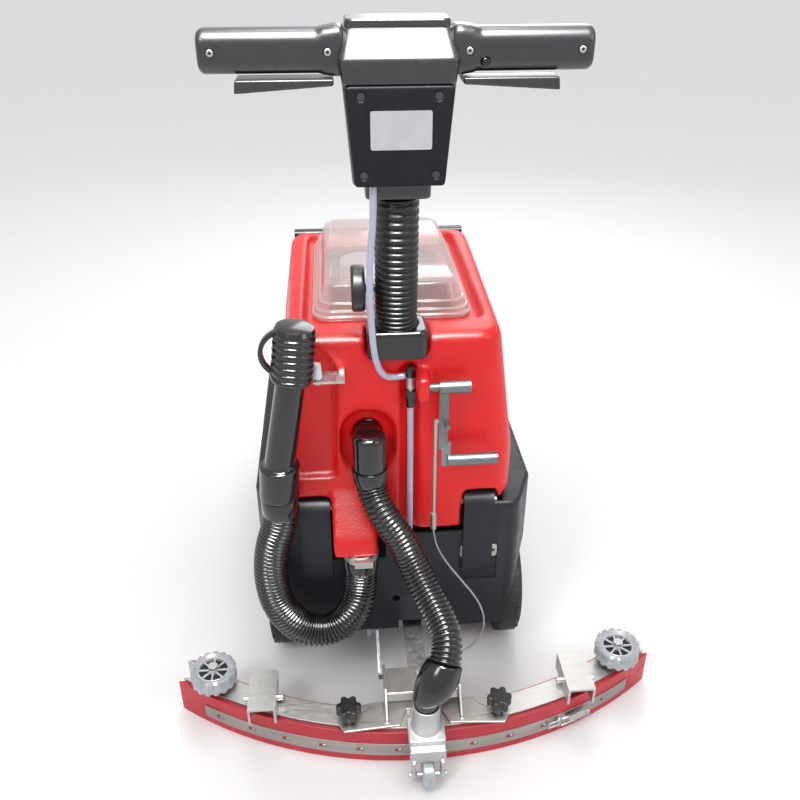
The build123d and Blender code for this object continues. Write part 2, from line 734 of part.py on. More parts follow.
# ---------------------------------------------------------------- tank fittings
with BuildPart() as suction_port:
    with BuildSketch(Plane.XZ.offset(235)):
        with Locations((-47, 515)):
            Circle(22)
    extrude(amount=38)
    with BuildSketch(Plane.XY.offset(476)):
        with Locations((-46, -285)):
            Circle(26)
    extrude(amount=64)
    fillet(suction_port.faces().sort_by(Axis.Z)[-1].edges(), 10)
suction_port.part.label = "suction_port"
export_step(suction_port.part, "parts/suction_port.step")

drain_x, drain_y = -64, -286
with BuildPart() as drain_clamp:
    with BuildSketch(Plane.XY.offset(300)):
        with Locations((drain_x, drain_y)):
            Circle(28)
    extrude(amount=17.7)
    with BuildSketch(Plane.XY.offset(303)):
        with Locations((drain_x, drain_y)):
            Circle(30)
    extrude(amount=12)
    with Locations((drain_x + 4, drain_y - 32, 309)):
        Box(30, 10, 12)
drain_clamp.part.label = "drain_clamp"
export_step(drain_clamp.part, "parts/drain_clamp.step")

with BuildPart() as tank_fittings:
    with Locations((-103, -276, 634)):
        Box(46, 34, 3)
    with Locations((-84, -262, 634)):
        Box(8, 6, 14)
    with BuildSketch(Plane.XY.offset(628)):
        with Locations((-120, -284)):
            Circle(4)
    extrude(amount=32)
    with BuildSketch(Plane.XY.offset(577)):
        with Locations((20, -262)):
            Circle(7)
    extrude(amount=60)
    with Locations((20, -255, 607)):
        Box(10, 9.6, 30)
tank_fittings.part.label = "tank_fittings"
export_step(tank_fittings.part, "parts/tank_fittings.step")

with BuildPart() as level_hose:
    with BuildSketch(Plane.XY.offset(335)):
        with Locations((20, -262)):
            Circle(5)
    extrude(amount=242)
level_hose.part.label = "level_hose"
export_step(level_hose.part, "parts/level_hose.step")

# squeegee lever: shaft, sleeve grip above, flat bar down to the handle
lever_y, lever_z = -288, 617
with BuildPart() as squeegee_lever:
    with BuildSketch(Plane.YZ.offset(29)):
        with Locations((lever_y, lever_z)):
            Circle(6)
    extrude(amount=34)
    with BuildSketch(Plane.YZ.offset(61)):
        with Locations((lever_y, lever_z)):
            Circle(9.5)
    extrude(amount=47)
    with Locations((68, lever_y - 3, 560)):
        Box(14, 5, 100)
    with Locations((73, lever_y - 3, 500)):
        Box(14, 5, 44)
    with BuildSketch(Plane.YZ.offset(76)):
        with Locations((lever_y - 6, 490)):
            Circle(9.5)
    extrude(amount=78)
    with BuildSketch(Plane.XZ.offset(-lever_y - 6)):
        with Locations((73, 556)):
            Circle(4)
    extrude(amount=24)
squeegee_lever.part.label = "squeegee_lever"
export_step(squeegee_lever.part, "parts/squeegee_lever.step")

rod_x, rod_y = 55, -300
with BuildPart() as pull_rod:
    with BuildSketch(Plane.XY.offset(392)):
        with Locations((rod_x, rod_y)):
            Circle(3)
    extrude(amount=176)
    with BuildSketch(Plane.XY.offset(361)):
        with Locations((rod_x, rod_y)):
            Circle(5)
    extrude(amount=31)
    with Locations((57, rod_y, 566)):
        Box(5, 5, 5)
pull_rod.part.label = "pull_rod"
export_step(pull_rod.part, "parts/pull_rod.step")

# ---------------------------------------------------------------- drain hose end
with BuildPart() as drain_pipe:
    with BuildSketch(Plane.XY.offset(442)):
        with Locations((-188, -300)):
            Circle(31)
    with BuildSketch(Plane.XY.offset(499)):
        with Locations((-184, -300)):
            Circle(31)
    loft()
    with BuildSketch(Plane.XY.offset(499)):
        with Locations((-184, -300)):
            Circle(24)
    with BuildSketch(Plane.XY.offset(645)):
        with Locations((-158, -300)):
            Circle(22)
    loft()
drain_pipe.part.label = "drain_pipe"
export_step(drain_pipe.part, "parts/drain_pipe.step")

with BuildPart() as drain_cap:
    for level in range(4):
        with BuildSketch(Plane.XY.offset(645.3 + 22 * level)):
            with Locations((-156 + 3 * level, -300)):
                Circle(29 + level % 2 * 2)
        extrude(amount=22)
    with BuildSketch(Plane.XZ.offset(294)):
        with Locations((-163, 690)):
            Ellipse(40, 38)
            Ellipse(30, 28, mode=Mode.SUBTRACT)
    extrude(amount=12)
drain_cap.part.label = "drain_cap"
export_step(drain_cap.part, "parts/drain_cap.step")

# ---------------------------------------------------------------- squeegee
with BuildPart() as squeegee_arm:
    with BuildSketch(Plane.XY.offset(arm_z - 3)):
        with Locations((arm_x, (arm_pivot_y - 386) / 2 - 2)):
            Rectangle(34, 386 + arm_pivot_y - 4)
    extrude(amount=6)
    with BuildSketch(Plane.YZ.offset(arm_x - 17)):
        with Locations((arm_pivot_y, arm_z)):
            Circle(11)
    extrude(amount=34)
    with BuildSketch(Plane.XY.offset(arm_z + 3)):
        with Locations((arm_x, swing_y)):
            Circle(14)
    extrude(amount=12)
    with BuildSketch(Plane.XY.offset(arm_z + 15)):
        with Locations((arm_x, swing_y)):
            Circle(6)
    extrude(amount=14)
    # eye for the lift rope
    with Locations((arm_x + 24, -332, arm_z + 4)):
        Box(20, 10, 14)
    with BuildSketch(Plane.YZ.offset(0)):
        with Locations((arm_pivot_y, arm_z)):
            Circle(5 + running_gap)
    extrude(amount=60, mode=Mode.SUBTRACT)
squeegee_arm.part.label = "squeegee_arm"
export_step(squeegee_arm.part, "parts/squeegee_arm.step")

bracket_top = 102.3
with BuildPart() as mount_bracket:
    with BuildSketch(Plane.XY.offset(bracket_top)):
        with Locations((squeegee_x, -383)):
            Rectangle(128, 54)
        with Locations((arm_x, swing_y)):
            Circle(6 + running_gap, mode=Mode.SUBTRACT)
    extrude(amount=4)
    for side in (-1, 1):
        with BuildSketch(Plane.YZ.offset(squeegee_x + side * 62 - 2)):
            with BuildLine():
                Polyline((-356, 116), (-410, 116), (-446, 82), (-446, 74), (-406, 74), (-372, 98), (-356, 100), close=True)
            make_face()
        extrude(amount=4)
    # wings under the star knobs, open in the middle for the nozzle
    with BuildSketch(Plane.XY.offset(74)):
        with BuildLine():
            Polyline((-112, -442), (-100, -410), (-44, -402), (104, -402), (160, -410), (172, -442),
                     (162, -458), (72, -452), (58, -420), (2, -420), (-12, -452), (-102, -458), close=True)
        make_face()
        with Locations((squeegee_x - 124, -437), (squeegee_x + 124, -437)):
            Circle(4 + running_gap, mode=Mode.SUBTRACT)
    extrude(amount=4)
mount_bracket.part.label = "mount_bracket"
export_step(mount_bracket.part, "parts/mount_bracket.step")

channel_top = 73.7
front_radius = blade_radius - 44
with BuildPart() as squeegee_body:
    with BuildSketch(Plane.XY.offset(channel_top - 4)):
        add(arc_band(front_radius - 2, blade_radius - blade_thickness, blade_half_span - 8))
    extrude(amount=4)
    for inner, outer in ((front_radius + 0.3, front_radius + 4), (blade_radius - 11.3, blade_radius - 7.3)):
        with BuildSketch(Plane.XY.offset(30)):
            add(arc_band(inner, outer, blade_half_span - 10))
        extrude(amount=41)
    with BuildSketch(Plane.XY.offset(50)):
        with Locations((squeegee_x, -436)):
            Circle(17)
    extrude(amount=40, mode=Mode.SUBTRACT)
    with BuildSketch(Plane.XY.offset(55)):
        with Locations((squeegee_x - 124, -437), (squeegee_x + 124, -437)):
            Circle(4.2)
    extrude(amount=30, mode=Mode.SUBTRACT)
squeegee_body.part.label = "squeegee_body"
export_step(squeegee_body.part, "parts/squeegee_body.step")

with BuildPart() as front_blade:
    with BuildSketch(Plane.XY.offset(3)):
        add(arc_band(front_radius - blade_thickness, front_radius, blade_half_span - 12))
    extrude(amount=blade_height + 2)
front_blade.part.label = "front_blade"
export_step(front_blade.part, "parts/front_blade.step")

with BuildPart() as rear_blade:
    with BuildSketch(Plane.XY.offset(1)):
        add(arc_band(blade_radius - blade_thickness + 0.3, blade_radius, blade_half_span))
    extrude(amount=blade_height + 4)
rear_blade.part.label = "rear_blade"
export_step(rear_blade.part, "parts/rear_blade.step")

with BuildPart() as tension_strap:
    with BuildSketch(Plane.XY.offset(16)):
        add(arc_band(blade_radius + 0.3, blade_radius + 1.8, blade_half_span - 40))
    extrude(amount=28)
tension_strap.part.label = "tension_strap"
export_step(tension_strap.part, "parts/tension_strap.step")

latch_angle = 19.5
latch_plane = Plane(
    origin=(squeegee_x + 697 * sin(radians(latch_angle)), blade_center_y - 697 * cos(radians(latch_angle)), 30),
    x_dir=(cos(radians(latch_angle)), sin(radians(latch_angle)), 0), z_dir=(0, 0, 1))
with BuildPart() as strap_latch:
    with BuildSketch(latch_plane.offset(-9)):
        with Locations((0, -3)):
            Circle(3.4)
        with Locations((30, -5)):
            Rectangle(60, 3)
    extrude(amount=18)
strap_latch.part.label = "strap_latch"
export_step(strap_latch.part, "parts/strap_latch.step")

# inverted channels over the blades, and the upright bolts of the guide rollers
bracket_offset = 266
roller_offset, roller_radius = 352, 39
roller_y = arc_point_y(672, roller_offset)
with BuildPart() as support_brackets:
    for side in (-1, 1):
        middle_y = arc_point_y(672, bracket_offset) - 2
        with BuildSketch(Plane.XZ.offset(-middle_y - 42)):
            with Locations((squeegee_x + side * bracket_offset, channel_top + 0.3)):
                Rectangle(46, 34, align=(Align.CENTER, Align.MIN))
                Rectangle(38, 30, align=(Align.CENTER, Align.MIN), mode=Mode.SUBTRACT)
        extrude(amount=84)
        with BuildSketch(Plane.YZ.offset(squeegee_x + side * bracket_offset - 32)):
            with Locations((middle_y, channel_top + 14)):
                Circle(5)
        extrude(amount=64)
    for side in (-1, 1):
        with BuildSketch(Plane.XY.offset(channel_top + 0.3)):
            with Locations((squeegee_x + side * roller_offset, roller_y)):
                Circle(11)
        extrude(amount=14)
        with BuildSketch(Plane.XY.offset(channel_top + 14)):
            with Locations((squeegee_x + side * roller_offset, roller_y)):
                Circle(5)
        extrude(amount=30)
        with BuildSketch(Plane.XY.offset(116.6)):
            with Locations((squeegee_x + side * roller_offset, roller_y)):
                Circle(8)
        extrude(amount=5)
support_brackets.part.label = "support_brackets"
export_step(support_brackets.part, "parts/support_brackets.step")

for name, side in (("star_knob_left", -1), ("star_knob_right", 1)):
    with BuildPart() as star_knob:
        with BuildSketch(Plane.XY.offset(96)):
            with Locations((squeegee_x + side * 124, -437)):
                Circle(15)
                with PolarLocations(15, 6):
                    Circle(5.5)
        extrude(amount=20)
        with BuildSketch(Plane.XY.offset(78.3)):
            with Locations((squeegee_x + side * 124, -437)):
                Circle(9)
        extrude(amount=18)
        with BuildSketch(Plane.XY.offset(62)):
            with Locations((squeegee_x + side * 124, -437)):
                Circle(4)
        extrude(amount=18)
    star_knob.part.label = name
    export_step(star_knob.part, f"parts/{name}.step")

for name, side in (("roller_left", -1), ("roller_right", 1)):
    with BuildPart() as roller:
        with BuildSketch(Plane.XY.offset(89)):
            with Locations((squeegee_x + side * roller_offset, roller_y)):
                Circle(roller_radius)
                Circle(5 + running_gap, mode=Mode.SUBTRACT)
        extrude(amount=27)
        fillet(roller.edges().filter_by(GeomType.CIRCLE).group_by(SortBy.RADIUS)[-1], 6)
    roller.part.label = name
    export_step(roller.part, f"parts/{name}.step")

# suction nozzle with the rear castor's yoke cast on
squeegee_castor_y, squeegee_castor_z = -507, 25
with BuildPart() as nozzle:
    with BuildSketch(Plane.XY.offset(78.5)):
        with Locations((squeegee_x, nozzle_y)):
            Circle(nozzle_radius)
            Circle(19.5, mode=Mode.SUBTRACT)
    extrude(amount=62)
    with BuildSketch(Plane.XY.offset(74)):
        with Locations((squeegee_x, -468)):
            RectangleRounded(60, 54, 6)
        with Locations((squeegee_x, -438)):
            Rectangle(46, 24)
        with Locations((squeegee_x, -450)):
            Circle(17, mode=Mode.SUBTRACT)
    extrude(amount=14)
    with Locations((squeegee_x, -500, 64)):
        Box(58, 12, 26)
    for side in (-1, 1):
        with Locations((squeegee_x + side * 23, -504, 36)):
            Box(6, 16, 42)
    with BuildSketch(Plane.YZ.offset(squeegee_x - 32)):
        with Locations((squeegee_castor_y, squeegee_castor_z)):
            Circle(4)
    extrude(amount=64)
nozzle.part.label = "nozzle"
export_step(nozzle.part, "parts/nozzle.step")

with BuildPart() as squeegee_castor_wheel:
    with BuildSketch(Plane.YZ.offset(squeegee_x - 10)):
        with Locations((squeegee_castor_y, squeegee_castor_z)):
            Circle(squeegee_castor_z)
            Circle(4 + running_gap, mode=Mode.SUBTRACT)
    extrude(amount=20)
    fillet(squeegee_castor_wheel.edges().filter_by(GeomType.CIRCLE).group_by(SortBy.RADIUS)[-1], 4)
squeegee_castor_wheel.part.label = "squeegee_castor_wheel"
export_step(squeegee_castor_wheel.part, "parts/squeegee_castor_wheel.step")

elbow_middle = Plane(origin=(43, -463, 180), z_dir=(0.30, 0.16, 0.94))
elbow_mouth = Plane(origin=(60, -446, 208), z_dir=(0.30, 0.55, 0.78))
with BuildPart() as nozzle_elbow:
    with BuildSketch(Plane.XY.offset(126)):
        with Locations((squeegee_x, nozzle_y)):
            Circle(19.2)
    extrude(amount=30)
    with BuildSketch(Plane.XY.offset(156)):
        with Locations((squeegee_x, nozzle_y)):
            Circle(23)
    with BuildSketch(elbow_middle):
        Circle(31)
    with BuildSketch(elbow_mouth):
        Circle(29)
    loft()
nozzle_elbow.part.label = "nozzle_elbow"
export_step(nozzle_elbow.part, "parts/nozzle_elbow.step")

# ---------------------------------------------------------------- free hoses and the lift rope
suction_route = [
    (-46, -285, 475.7), (-46, -285, 444), (-31, -309, 406), (-1, -319, 362), (17, -330, 319),
    (37, -356, 282), (58, -392, 254), (69, -429.5, 231.4), (60, -446, 208)]
drain_route = [
    (-188, -300, 441.7), (-188, -300, 396), (-208, -305, 342), (-214, -309, 280), (-204, -312, 218),
    (-166, -313, 164), (-110, -312, 160), (-72, -304, 204), (drain_x, drain_y, 252), (drain_x, drain_y, 299.7)]
sensor_route = [
    (-34, -293.5, 925.7), (-34, -293.5, 880), (-40, -290, 826), (-41, -288, 770), (-39, -286, 716),
    (-35, -284, 668), (-25, -277, 636), (-8, -266, 624), (11.5, -265, 627)]
rope_route = [
    (rod_x, rod_y, 360.6), (57, -302, 334), (74, -309, 300), (102, -316, 262), (132, -322, 220),
    (146, -326, 178), (138, -330, 138), (108, -332, 108), (62.6, -332, 91)]
hoses = {
    "suction_hose": (suction_route, 25), "drain_hose": (drain_route, 28),
    "sensor_hose": (sensor_route, 5), "lift_rope": (rope_route, 1.5)}
for name, (route, radius) in hoses.items():
    radii = bend_radii(route)
    with BuildPart() as hose:
        with BuildLine() as path:
            FilletPolyline(*route, radius=radii)
        with BuildSketch(Plane(origin=path.line @ 0, z_dir=path.line % 0)):
            Circle(radius)
        sweep()
    length = sum(edge.length for edge in path.edges())
    print(name, "length", round(length), "volume ratio",
          round(hose.part.volume / (pi * radius**2 * length), 3),
          "radii", [round(value) for value in radii])
    hose.part.label = name
    export_step(hose.part, f"parts/{name}.step")
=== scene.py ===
import json
import math
import bmesh
import bpy
from mathutils import Matrix, Vector


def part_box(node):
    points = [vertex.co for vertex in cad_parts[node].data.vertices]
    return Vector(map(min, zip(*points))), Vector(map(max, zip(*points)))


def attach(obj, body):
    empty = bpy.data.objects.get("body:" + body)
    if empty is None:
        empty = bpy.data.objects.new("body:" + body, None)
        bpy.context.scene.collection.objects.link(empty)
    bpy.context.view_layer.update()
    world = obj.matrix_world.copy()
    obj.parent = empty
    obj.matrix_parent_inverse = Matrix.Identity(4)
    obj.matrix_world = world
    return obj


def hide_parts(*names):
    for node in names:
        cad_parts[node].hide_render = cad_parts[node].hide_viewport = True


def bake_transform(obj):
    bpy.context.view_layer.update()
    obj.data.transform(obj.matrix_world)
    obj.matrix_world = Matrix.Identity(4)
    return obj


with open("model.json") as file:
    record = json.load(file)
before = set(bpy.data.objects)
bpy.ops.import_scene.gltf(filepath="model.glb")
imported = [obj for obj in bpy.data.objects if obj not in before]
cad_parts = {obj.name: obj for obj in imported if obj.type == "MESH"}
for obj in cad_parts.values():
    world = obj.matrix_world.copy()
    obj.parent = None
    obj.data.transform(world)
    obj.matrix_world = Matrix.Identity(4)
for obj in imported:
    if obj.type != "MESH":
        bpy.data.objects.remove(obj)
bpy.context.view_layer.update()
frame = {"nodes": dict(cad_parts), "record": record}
record = frame["record"]
bodyOf = {node: body for body, nodes in record["behaviour"]["bodies"].items() for node in nodes}
slotOf = {part["node"]: part["material_slot"] for part in record["subparts"]}


# finishes
class Wire:  # an output socket; sums and products of wires add Math nodes
    def __init__(self, finish, socket):
        self.finish = finish
        self.socket = socket

    def do(self, operation, first, second):
        return self.finish.node("ShaderNodeMath", {"operation": operation}, {0: first, 1: second})

    def __add__(self, other):
        return self.do("ADD", self, other)

    def __mul__(self, other):
        return self.do("MULTIPLY", self, other)

    __radd__ = __add__
    __rmul__ = __mul__


class Finish:  # a material in the making
    def __init__(self, name, fixed):
        self.material = bpy.data.materials.new(name)
        self.material.use_nodes = True
        self.tree = self.material.node_tree
        self.shader = self.tree.nodes["Principled BSDF"]
        for socket, value in fixed.items():
            self.shader.inputs[socket].default_value = value

    def node(self, kind, settings=None, sockets=None, output=0):
        node = self.tree.nodes.new(kind)
        for name, value in (settings or {}).items():
            setattr(node, name, value)
        for name, value in (sockets or {}).items():
            if isinstance(value, Wire):
                self.tree.links.new(value.socket, node.inputs[name])
            else:
                node.inputs[name].default_value = value
        return Wire(self, node.outputs[output])

    def coords(self, stretch=(1, 1, 1)):
        place = self.node("ShaderNodeTexCoord", output="Object")
        return self.node("ShaderNodeMapping", None, {"Vector": place, "Scale": stretch})

    def noise(self, scale, detail=2.0, stretch=(1, 1, 1)):
        return self.node("ShaderNodeTexNoise", None,
                         {"Vector": self.coords(stretch), "Scale": scale, "Detail": detail})

    def spread(self, value, low, high, toLow, toHigh):
        return self.node("ShaderNodeMapRange", None, {
            "Value": value, "From Min": low, "From Max": high, "To Min": toLow, "To Max": toHigh})

    def colours(self, factor, first, second):
        return self.node("ShaderNodeMix", {"data_type": "RGBA"}, {0: factor, 6: first, 7: second}, 2)

    def bump(self, height, strength, distance):
        return self.node("ShaderNodeBump", None, {
            "Height": height, "Strength": strength, "Distance": distance})

    def feed(self, sockets):
        for name, wire in sockets.items():
            self.tree.links.new(wire.socket, self.shader.inputs[name])
        return self.material


def surface(name, colour, shade=0.8, rough=0.4, roughBy=0.08, grain=900, depth=0.3, relief=0.0002,
            patch=9, stretch=(1, 1, 1), wear=0.0, fixed=None):
    # broad patches tint the colour, mid noise varies the gloss, fine noise is the grain
    finish = Finish(name, {"Roughness": rough, **(fixed or {})})
    light = (*colour, 1)
    dark = (*[part * shade for part in colour], 1)
    broad = finish.spread(finish.noise(patch, 3.0, stretch), 0.3, 0.7, 0, 1)
    tint = finish.colours(broad, light, dark)
    if wear:
        edge = finish.node("ShaderNodeNewGeometry", output="Pointiness")
        worn = finish.spread(edge, 0.52, 0.6, 0, wear)
        pale = (*[min(1, part * 1.6 + 0.06) for part in colour], 1)
        tint = finish.colours(worn, tint, pale)
    fine = finish.noise(grain, 2.0, stretch)
    mottle = finish.spread(finish.noise(patch * 6, 2.0, stretch), 0.3, 0.7, 0, 1)
    gloss = (rough - roughBy) + 2 * roughBy * mottle
    return finish.feed({"Base Color": tint, "Roughness": gloss,
                        "Normal": finish.bump(fine, depth, relief)})


metal = {"Metallic": 1.0}
coat = {"Coat Weight": 0.35, "Coat Roughness": 0.12}
finishes = {
    "redTank": surface("redTank", (0.78, 0.005, 0.006), 0.88, 0.40, 0.05, 300, 0.5, 0.0009, 5,
                       fixed={"Specular IOR Level": 0.38, "Coat Weight": 0.08, "Coat Roughness": 0.2}),
    "baseGrey": surface("baseGrey", (0.009, 0.0115, 0.019), 0.8, 0.44, 0.06, 700, 0.35, 0.0004, 6, wear=0.12,
                        fixed={"Specular IOR Level": 0.36}),
    "handleGrey": surface("handleGrey", (0.006, 0.0065, 0.009), 0.85, 0.34, 0.03, 1200, 0.3, 0.00008, 12, wear=0.1,
                          fixed={"Specular IOR Level": 0.7, "Coat Weight": 0.5, "Coat Roughness": 0.32}),
    "coverGrey": surface("coverGrey", (0.0075, 0.0085, 0.0115), 0.85, 0.5, 0.04, 1000, 0.3, 0.0001, 12,
                         fixed={"Specular IOR Level": 0.2}),
    "blackPlastic": surface("blackPlastic", (0.012, 0.012, 0.013), 0.8, 0.36, 0.06, 900, 0.2, 0.0002, 14),
    "hoseBlack": surface("hoseBlack", (0.010, 0.010, 0.011), 0.8, 0.2, 0.05, 160, 0.12, 0.0003, 20, fixed=coat),
    "bellowsBlack": surface("bellowsBlack", (0.011, 0.011, 0.012), 0.75, 0.3, 0.07, 500, 0.2, 0.0003, 25),
    "cuffBlack": surface("cuffBlack", (0.009, 0.009, 0.010), 0.8, 0.16, 0.04, 200, 0.1, 0.0002, 18, fixed=coat),
    "bladeRed": surface("bladeRed", (0.50, 0.010, 0.026), 0.82, 0.42, 0.08, 600, 0.25, 0.0002, 14,
                        fixed={"Subsurface Weight": 0.08, "Subsurface Scale": 0.004}),
    "steel": surface("steel", (0.42, 0.41, 0.385), 0.93, 0.40, 0.03, 420, 0.15, 0.0001, 9, (1, 1, 14),
                     fixed=metal),
    "strapSteel": surface("strapSteel", (0.38, 0.355, 0.33), 0.8, 0.34, 0.06, 420, 0.2, 0.0001, 12, (1, 1, 10),
                          fixed=metal),
    "zinc": surface("zinc", (0.50, 0.50, 0.49), 0.78, 0.42, 0.1, 260, 0.2, 0.0002, 22, fixed=metal),
    "leverSteel": surface("leverSteel", (0.16, 0.18, 0.19), 0.75, 0.4, 0.08, 700, 0.25, 0.0002, 16, wear=0.5,
                          fixed={"Metallic": 0.6}),
    "aluminium": surface("aluminium", (0.50, 0.49, 0.47), 0.90, 0.4, 0.08, 420, 0.2, 0.0002, 12, (1, 9, 1),
                         fixed=metal),
    "castAluminium": surface("castAluminium", (0.50, 0.50, 0.50), 0.84, 0.52, 0.08, 620, 0.6, 0.0004, 16,
                             fixed={"Metallic": 0.85}),
    "hoseClear": surface("hoseClear", (0.46, 0.47, 0.60), 0.86, 0.24, 0.06, 300, 0.1, 0.0002, 18,
                         fixed={"Subsurface Weight": 0.25, "Subsurface Scale": 0.003, **coat}),
    "rollerGrey": surface("rollerGrey", (0.50, 0.52, 0.55), 0.72, 0.3, 0.08, 500, 0.2, 0.0002, 60,
                          fixed={"Subsurface Weight": 0.3, "Subsurface Scale": 0.004, "Alpha": 0.92}),
    "rimWhite": surface("rimWhite", (0.62, 0.63, 0.65), 0.85, 0.35, 0.06, 700, 0.2, 0.0002, 30),
    "tyreRubber": surface("tyreRubber", (0.016, 0.016, 0.016), 0.7, 0.62, 0.08, 500, 0.4, 0.0004, 30),
    "darkMetal": surface("darkMetal", (0.03, 0.032, 0.035), 0.8, 0.4, 0.08, 700, 0.2, 0.0002, 14, wear=0.3),
    "whitePlastic": surface("whitePlastic", (0.74, 0.74, 0.80), 0.88, 0.4, 0.06, 800, 0.2, 0.0002, 14),
    "bristleBlue": surface("bristleBlue", (0.03, 0.10, 0.34), 0.5, 0.6, 0.1, 700, 1.0, 0.002, 200, (1, 1, 0.06)),
    "plateSilver": surface("plateSilver", (0.58, 0.58, 0.60), 0.92, 0.34, 0.05, 500, 0.1, 0.0001, 40,
                           fixed={"Metallic": 0.5}),
    "clearLid": surface("clearLid", (0.80, 0.66, 0.63), 0.9, 0.1, 0.05, 60, 0.05, 0.0003, 12,
                        fixed={"Alpha": 0.42, "Coat Weight": 1.0, "Coat Roughness": 0.04}),
}
slotFinish = {
    "base_plastic": "baseGrey", "steel": "steel", "battery_case": "darkMetal", "dark_metal": "darkMetal",
    "tyre_rubber": "tyreRubber", "grey_wheel": "rollerGrey", "bristle": "bristleBlue",
    "black_rubber": "cuffBlack", "zinc": "zinc", "red_tank": "redTank", "white_plastic": "whitePlastic",
    "clear_lid": "clearLid", "black_plastic": "blackPlastic", "handle_plastic": "handleGrey",
    "clear_hose": "hoseClear", "aluminium": "aluminium", "cast_aluminium": "castAluminium",
    "red_rubber": "bladeRed"}
print("finishes ready")


# bench tools
def addPiece(name, bm, finish, body, stands=(), crease=35):
    mesh = bpy.data.meshes.new(name)
    bm.to_mesh(mesh)
    bm.free()
    mesh.materials.append(finishes[finish])
    mesh.shade_smooth()
    mesh.set_sharp_from_angle(angle=math.radians(crease))
    piece = bpy.data.objects.new(name, mesh)
    bpy.context.scene.collection.objects.link(piece)
    if stands:
        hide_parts(*stands)
    if body:
        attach(piece, body)
    return piece


def join(bm, part, place=None):
    if place is not None:
        bmesh.ops.transform(part, matrix=place, verts=part.verts)
    mesh = bpy.data.meshes.new("loosePart")
    part.to_mesh(mesh)
    part.free()
    bm.from_mesh(mesh)
    bpy.data.meshes.remove(mesh)


def roundEdges(bm, width, angle=40, segments=2, edges=None):
    chosen = edges if edges is not None else [
        edge for edge in bm.edges if edge.is_manifold and edge.calc_face_angle(0) > math.radians(angle)]
    bmesh.ops.bevel(bm, geom=chosen, offset=width, offset_type="OFFSET", segments=segments, profile=0.5,
                    affect="EDGES", material=-1, clamp_overlap=True)


def block(low, high, rounding=0.0, segments=2):
    bm = bmesh.new()
    low, high = Vector(low), Vector(high)
    size = high - low
    bmesh.ops.create_cube(bm, size=1, matrix=Matrix.Translation((low + high) / 2) @ Matrix.Diagonal((*size, 1)))
    if rounding:
        roundEdges(bm, rounding, segments=segments)
    return bm


def facing(origin, direction):
    return Matrix.Translation(Vector(origin)) @ Vector(direction).to_track_quat("Z", "Y").to_matrix().to_4x4()


def rod(start, end, radius, endRadius=None, steps=28, rounding=0.0):
    bm = bmesh.new()
    start, end = Vector(start), Vector(end)
    bmesh.ops.create_cone(
        bm, cap_ends=True, cap_tris=False, segments=steps, radius1=radius,
        radius2=radius if endRadius is None else endRadius, depth=(end - start).length,
        matrix=facing((start + end) / 2, end - start))
    if rounding:
        roundEdges(bm, rounding)
    return bm


def turned(profile, steps=48, closed=False):
    # spins a chain of (radius, height) points about Z
    bm = bmesh.new()
    verts = [bm.verts.new((radius, 0, height)) for radius, height in profile]
    ends = verts[1:] + verts[:1] if closed else verts[1:]
    edges = [bm.edges.new(pair) for pair in zip(verts, ends)]
    bmesh.ops.spin(bm, geom=verts + edges, cent=(0, 0, 0), axis=(0, 0, 1), angle=2 * math.pi,
                   steps=steps, use_merge=True, use_duplicate=False)
    bmesh.ops.remove_doubles(bm, verts=bm.verts, dist=1e-6)
    bmesh.ops.recalc_face_normals(bm, faces=bm.faces)
    return bm


def merged(node):
    bm = bmesh.new()
    bm.from_mesh(frame["nodes"][node].data)
    bmesh.ops.remove_doubles(bm, verts=bm.verts, dist=1e-5)
    return bm


def moulded(name, node, voxel, rounds, finish, extra=(), keep=1.0):
    # a casting or moulding with soft edges: the node's shape with its bosses, fused and smoothed
    bm = merged(node)
    for part in extra:
        join(bm, part)
    piece = addPiece(name, bm, finish, bodyOf[node], (node,))
    fuse = piece.modifiers.new("fuse", "REMESH")
    fuse.mode = "VOXEL"
    fuse.voxel_size = voxel
    if keep < 1:
        thin = piece.modifiers.new("thin", "DECIMATE")
        thin.ratio = keep
    graph = bpy.context.evaluated_depsgraph_get()
    fused = bpy.data.meshes.new_from_object(piece.evaluated_get(graph))
    piece.modifiers.clear()
    bm = bmesh.new()
    bm.from_mesh(fused)
    for step in range(rounds):
        bmesh.ops.smooth_vert(bm, verts=bm.verts, factor=0.5, use_axis_x=True, use_axis_y=True, use_axis_z=True)
    bm.to_mesh(piece.data)
    bm.free()
    bpy.data.meshes.remove(fused)
    piece.data.materials.clear()
    piece.data.materials.append(finishes[finish])
    piece.data.shade_smooth()
    print("moulded", name, len(piece.data.polygons))
    return piece


def dress(node, finish=None, width=0.0008, segments=2):
    # a CAD node that stays gets eased edges and its finish
    part = frame["nodes"][node]
    part.data.materials.clear()
    part.data.materials.append(finishes[finish or slotFinish[slotOf[node]]])
    part.data.shade_smooth()
    weld = part.modifiers.new("weld", "WELD")
    weld.merge_threshold = 0.00001
    ease = part.modifiers.new("ease", "BEVEL")
    ease.limit_method = "ANGLE"
    ease.angle_limit = math.radians(38)
    ease.width = width
    ease.segments = segments
    even = part.modifiers.new("even", "WEIGHTED_NORMAL")
    even.keep_sharp = True


def routeLine(route):
    # the smooth line that a hose's route pulls
    curve = bpy.data.curves.new("routeLine", "CURVE")
    curve.dimensions = "3D"
    curve.resolution_u = 24
    spline = curve.splines.new("NURBS")
    spline.points.add(len(route) - 1)
    for point, place in zip(spline.points, route):
        point.co = (*place, 1)
    spline.order_u = 3
    spline.use_endpoint_u = True
    holder = bpy.data.objects.new("routeLine", curve)
    bpy.context.scene.collection.objects.link(holder)
    mesh = bpy.data.meshes.new_from_object(holder.evaluated_get(bpy.context.evaluated_depsgraph_get()))
    line = [vert.co.copy() for vert in mesh.vertices]
    bpy.data.objects.remove(holder)
    bpy.data.meshes.remove(mesh)
    return line


def lineLength(line):
    return sum((after - before).length for before, after in zip(line, line[1:]))


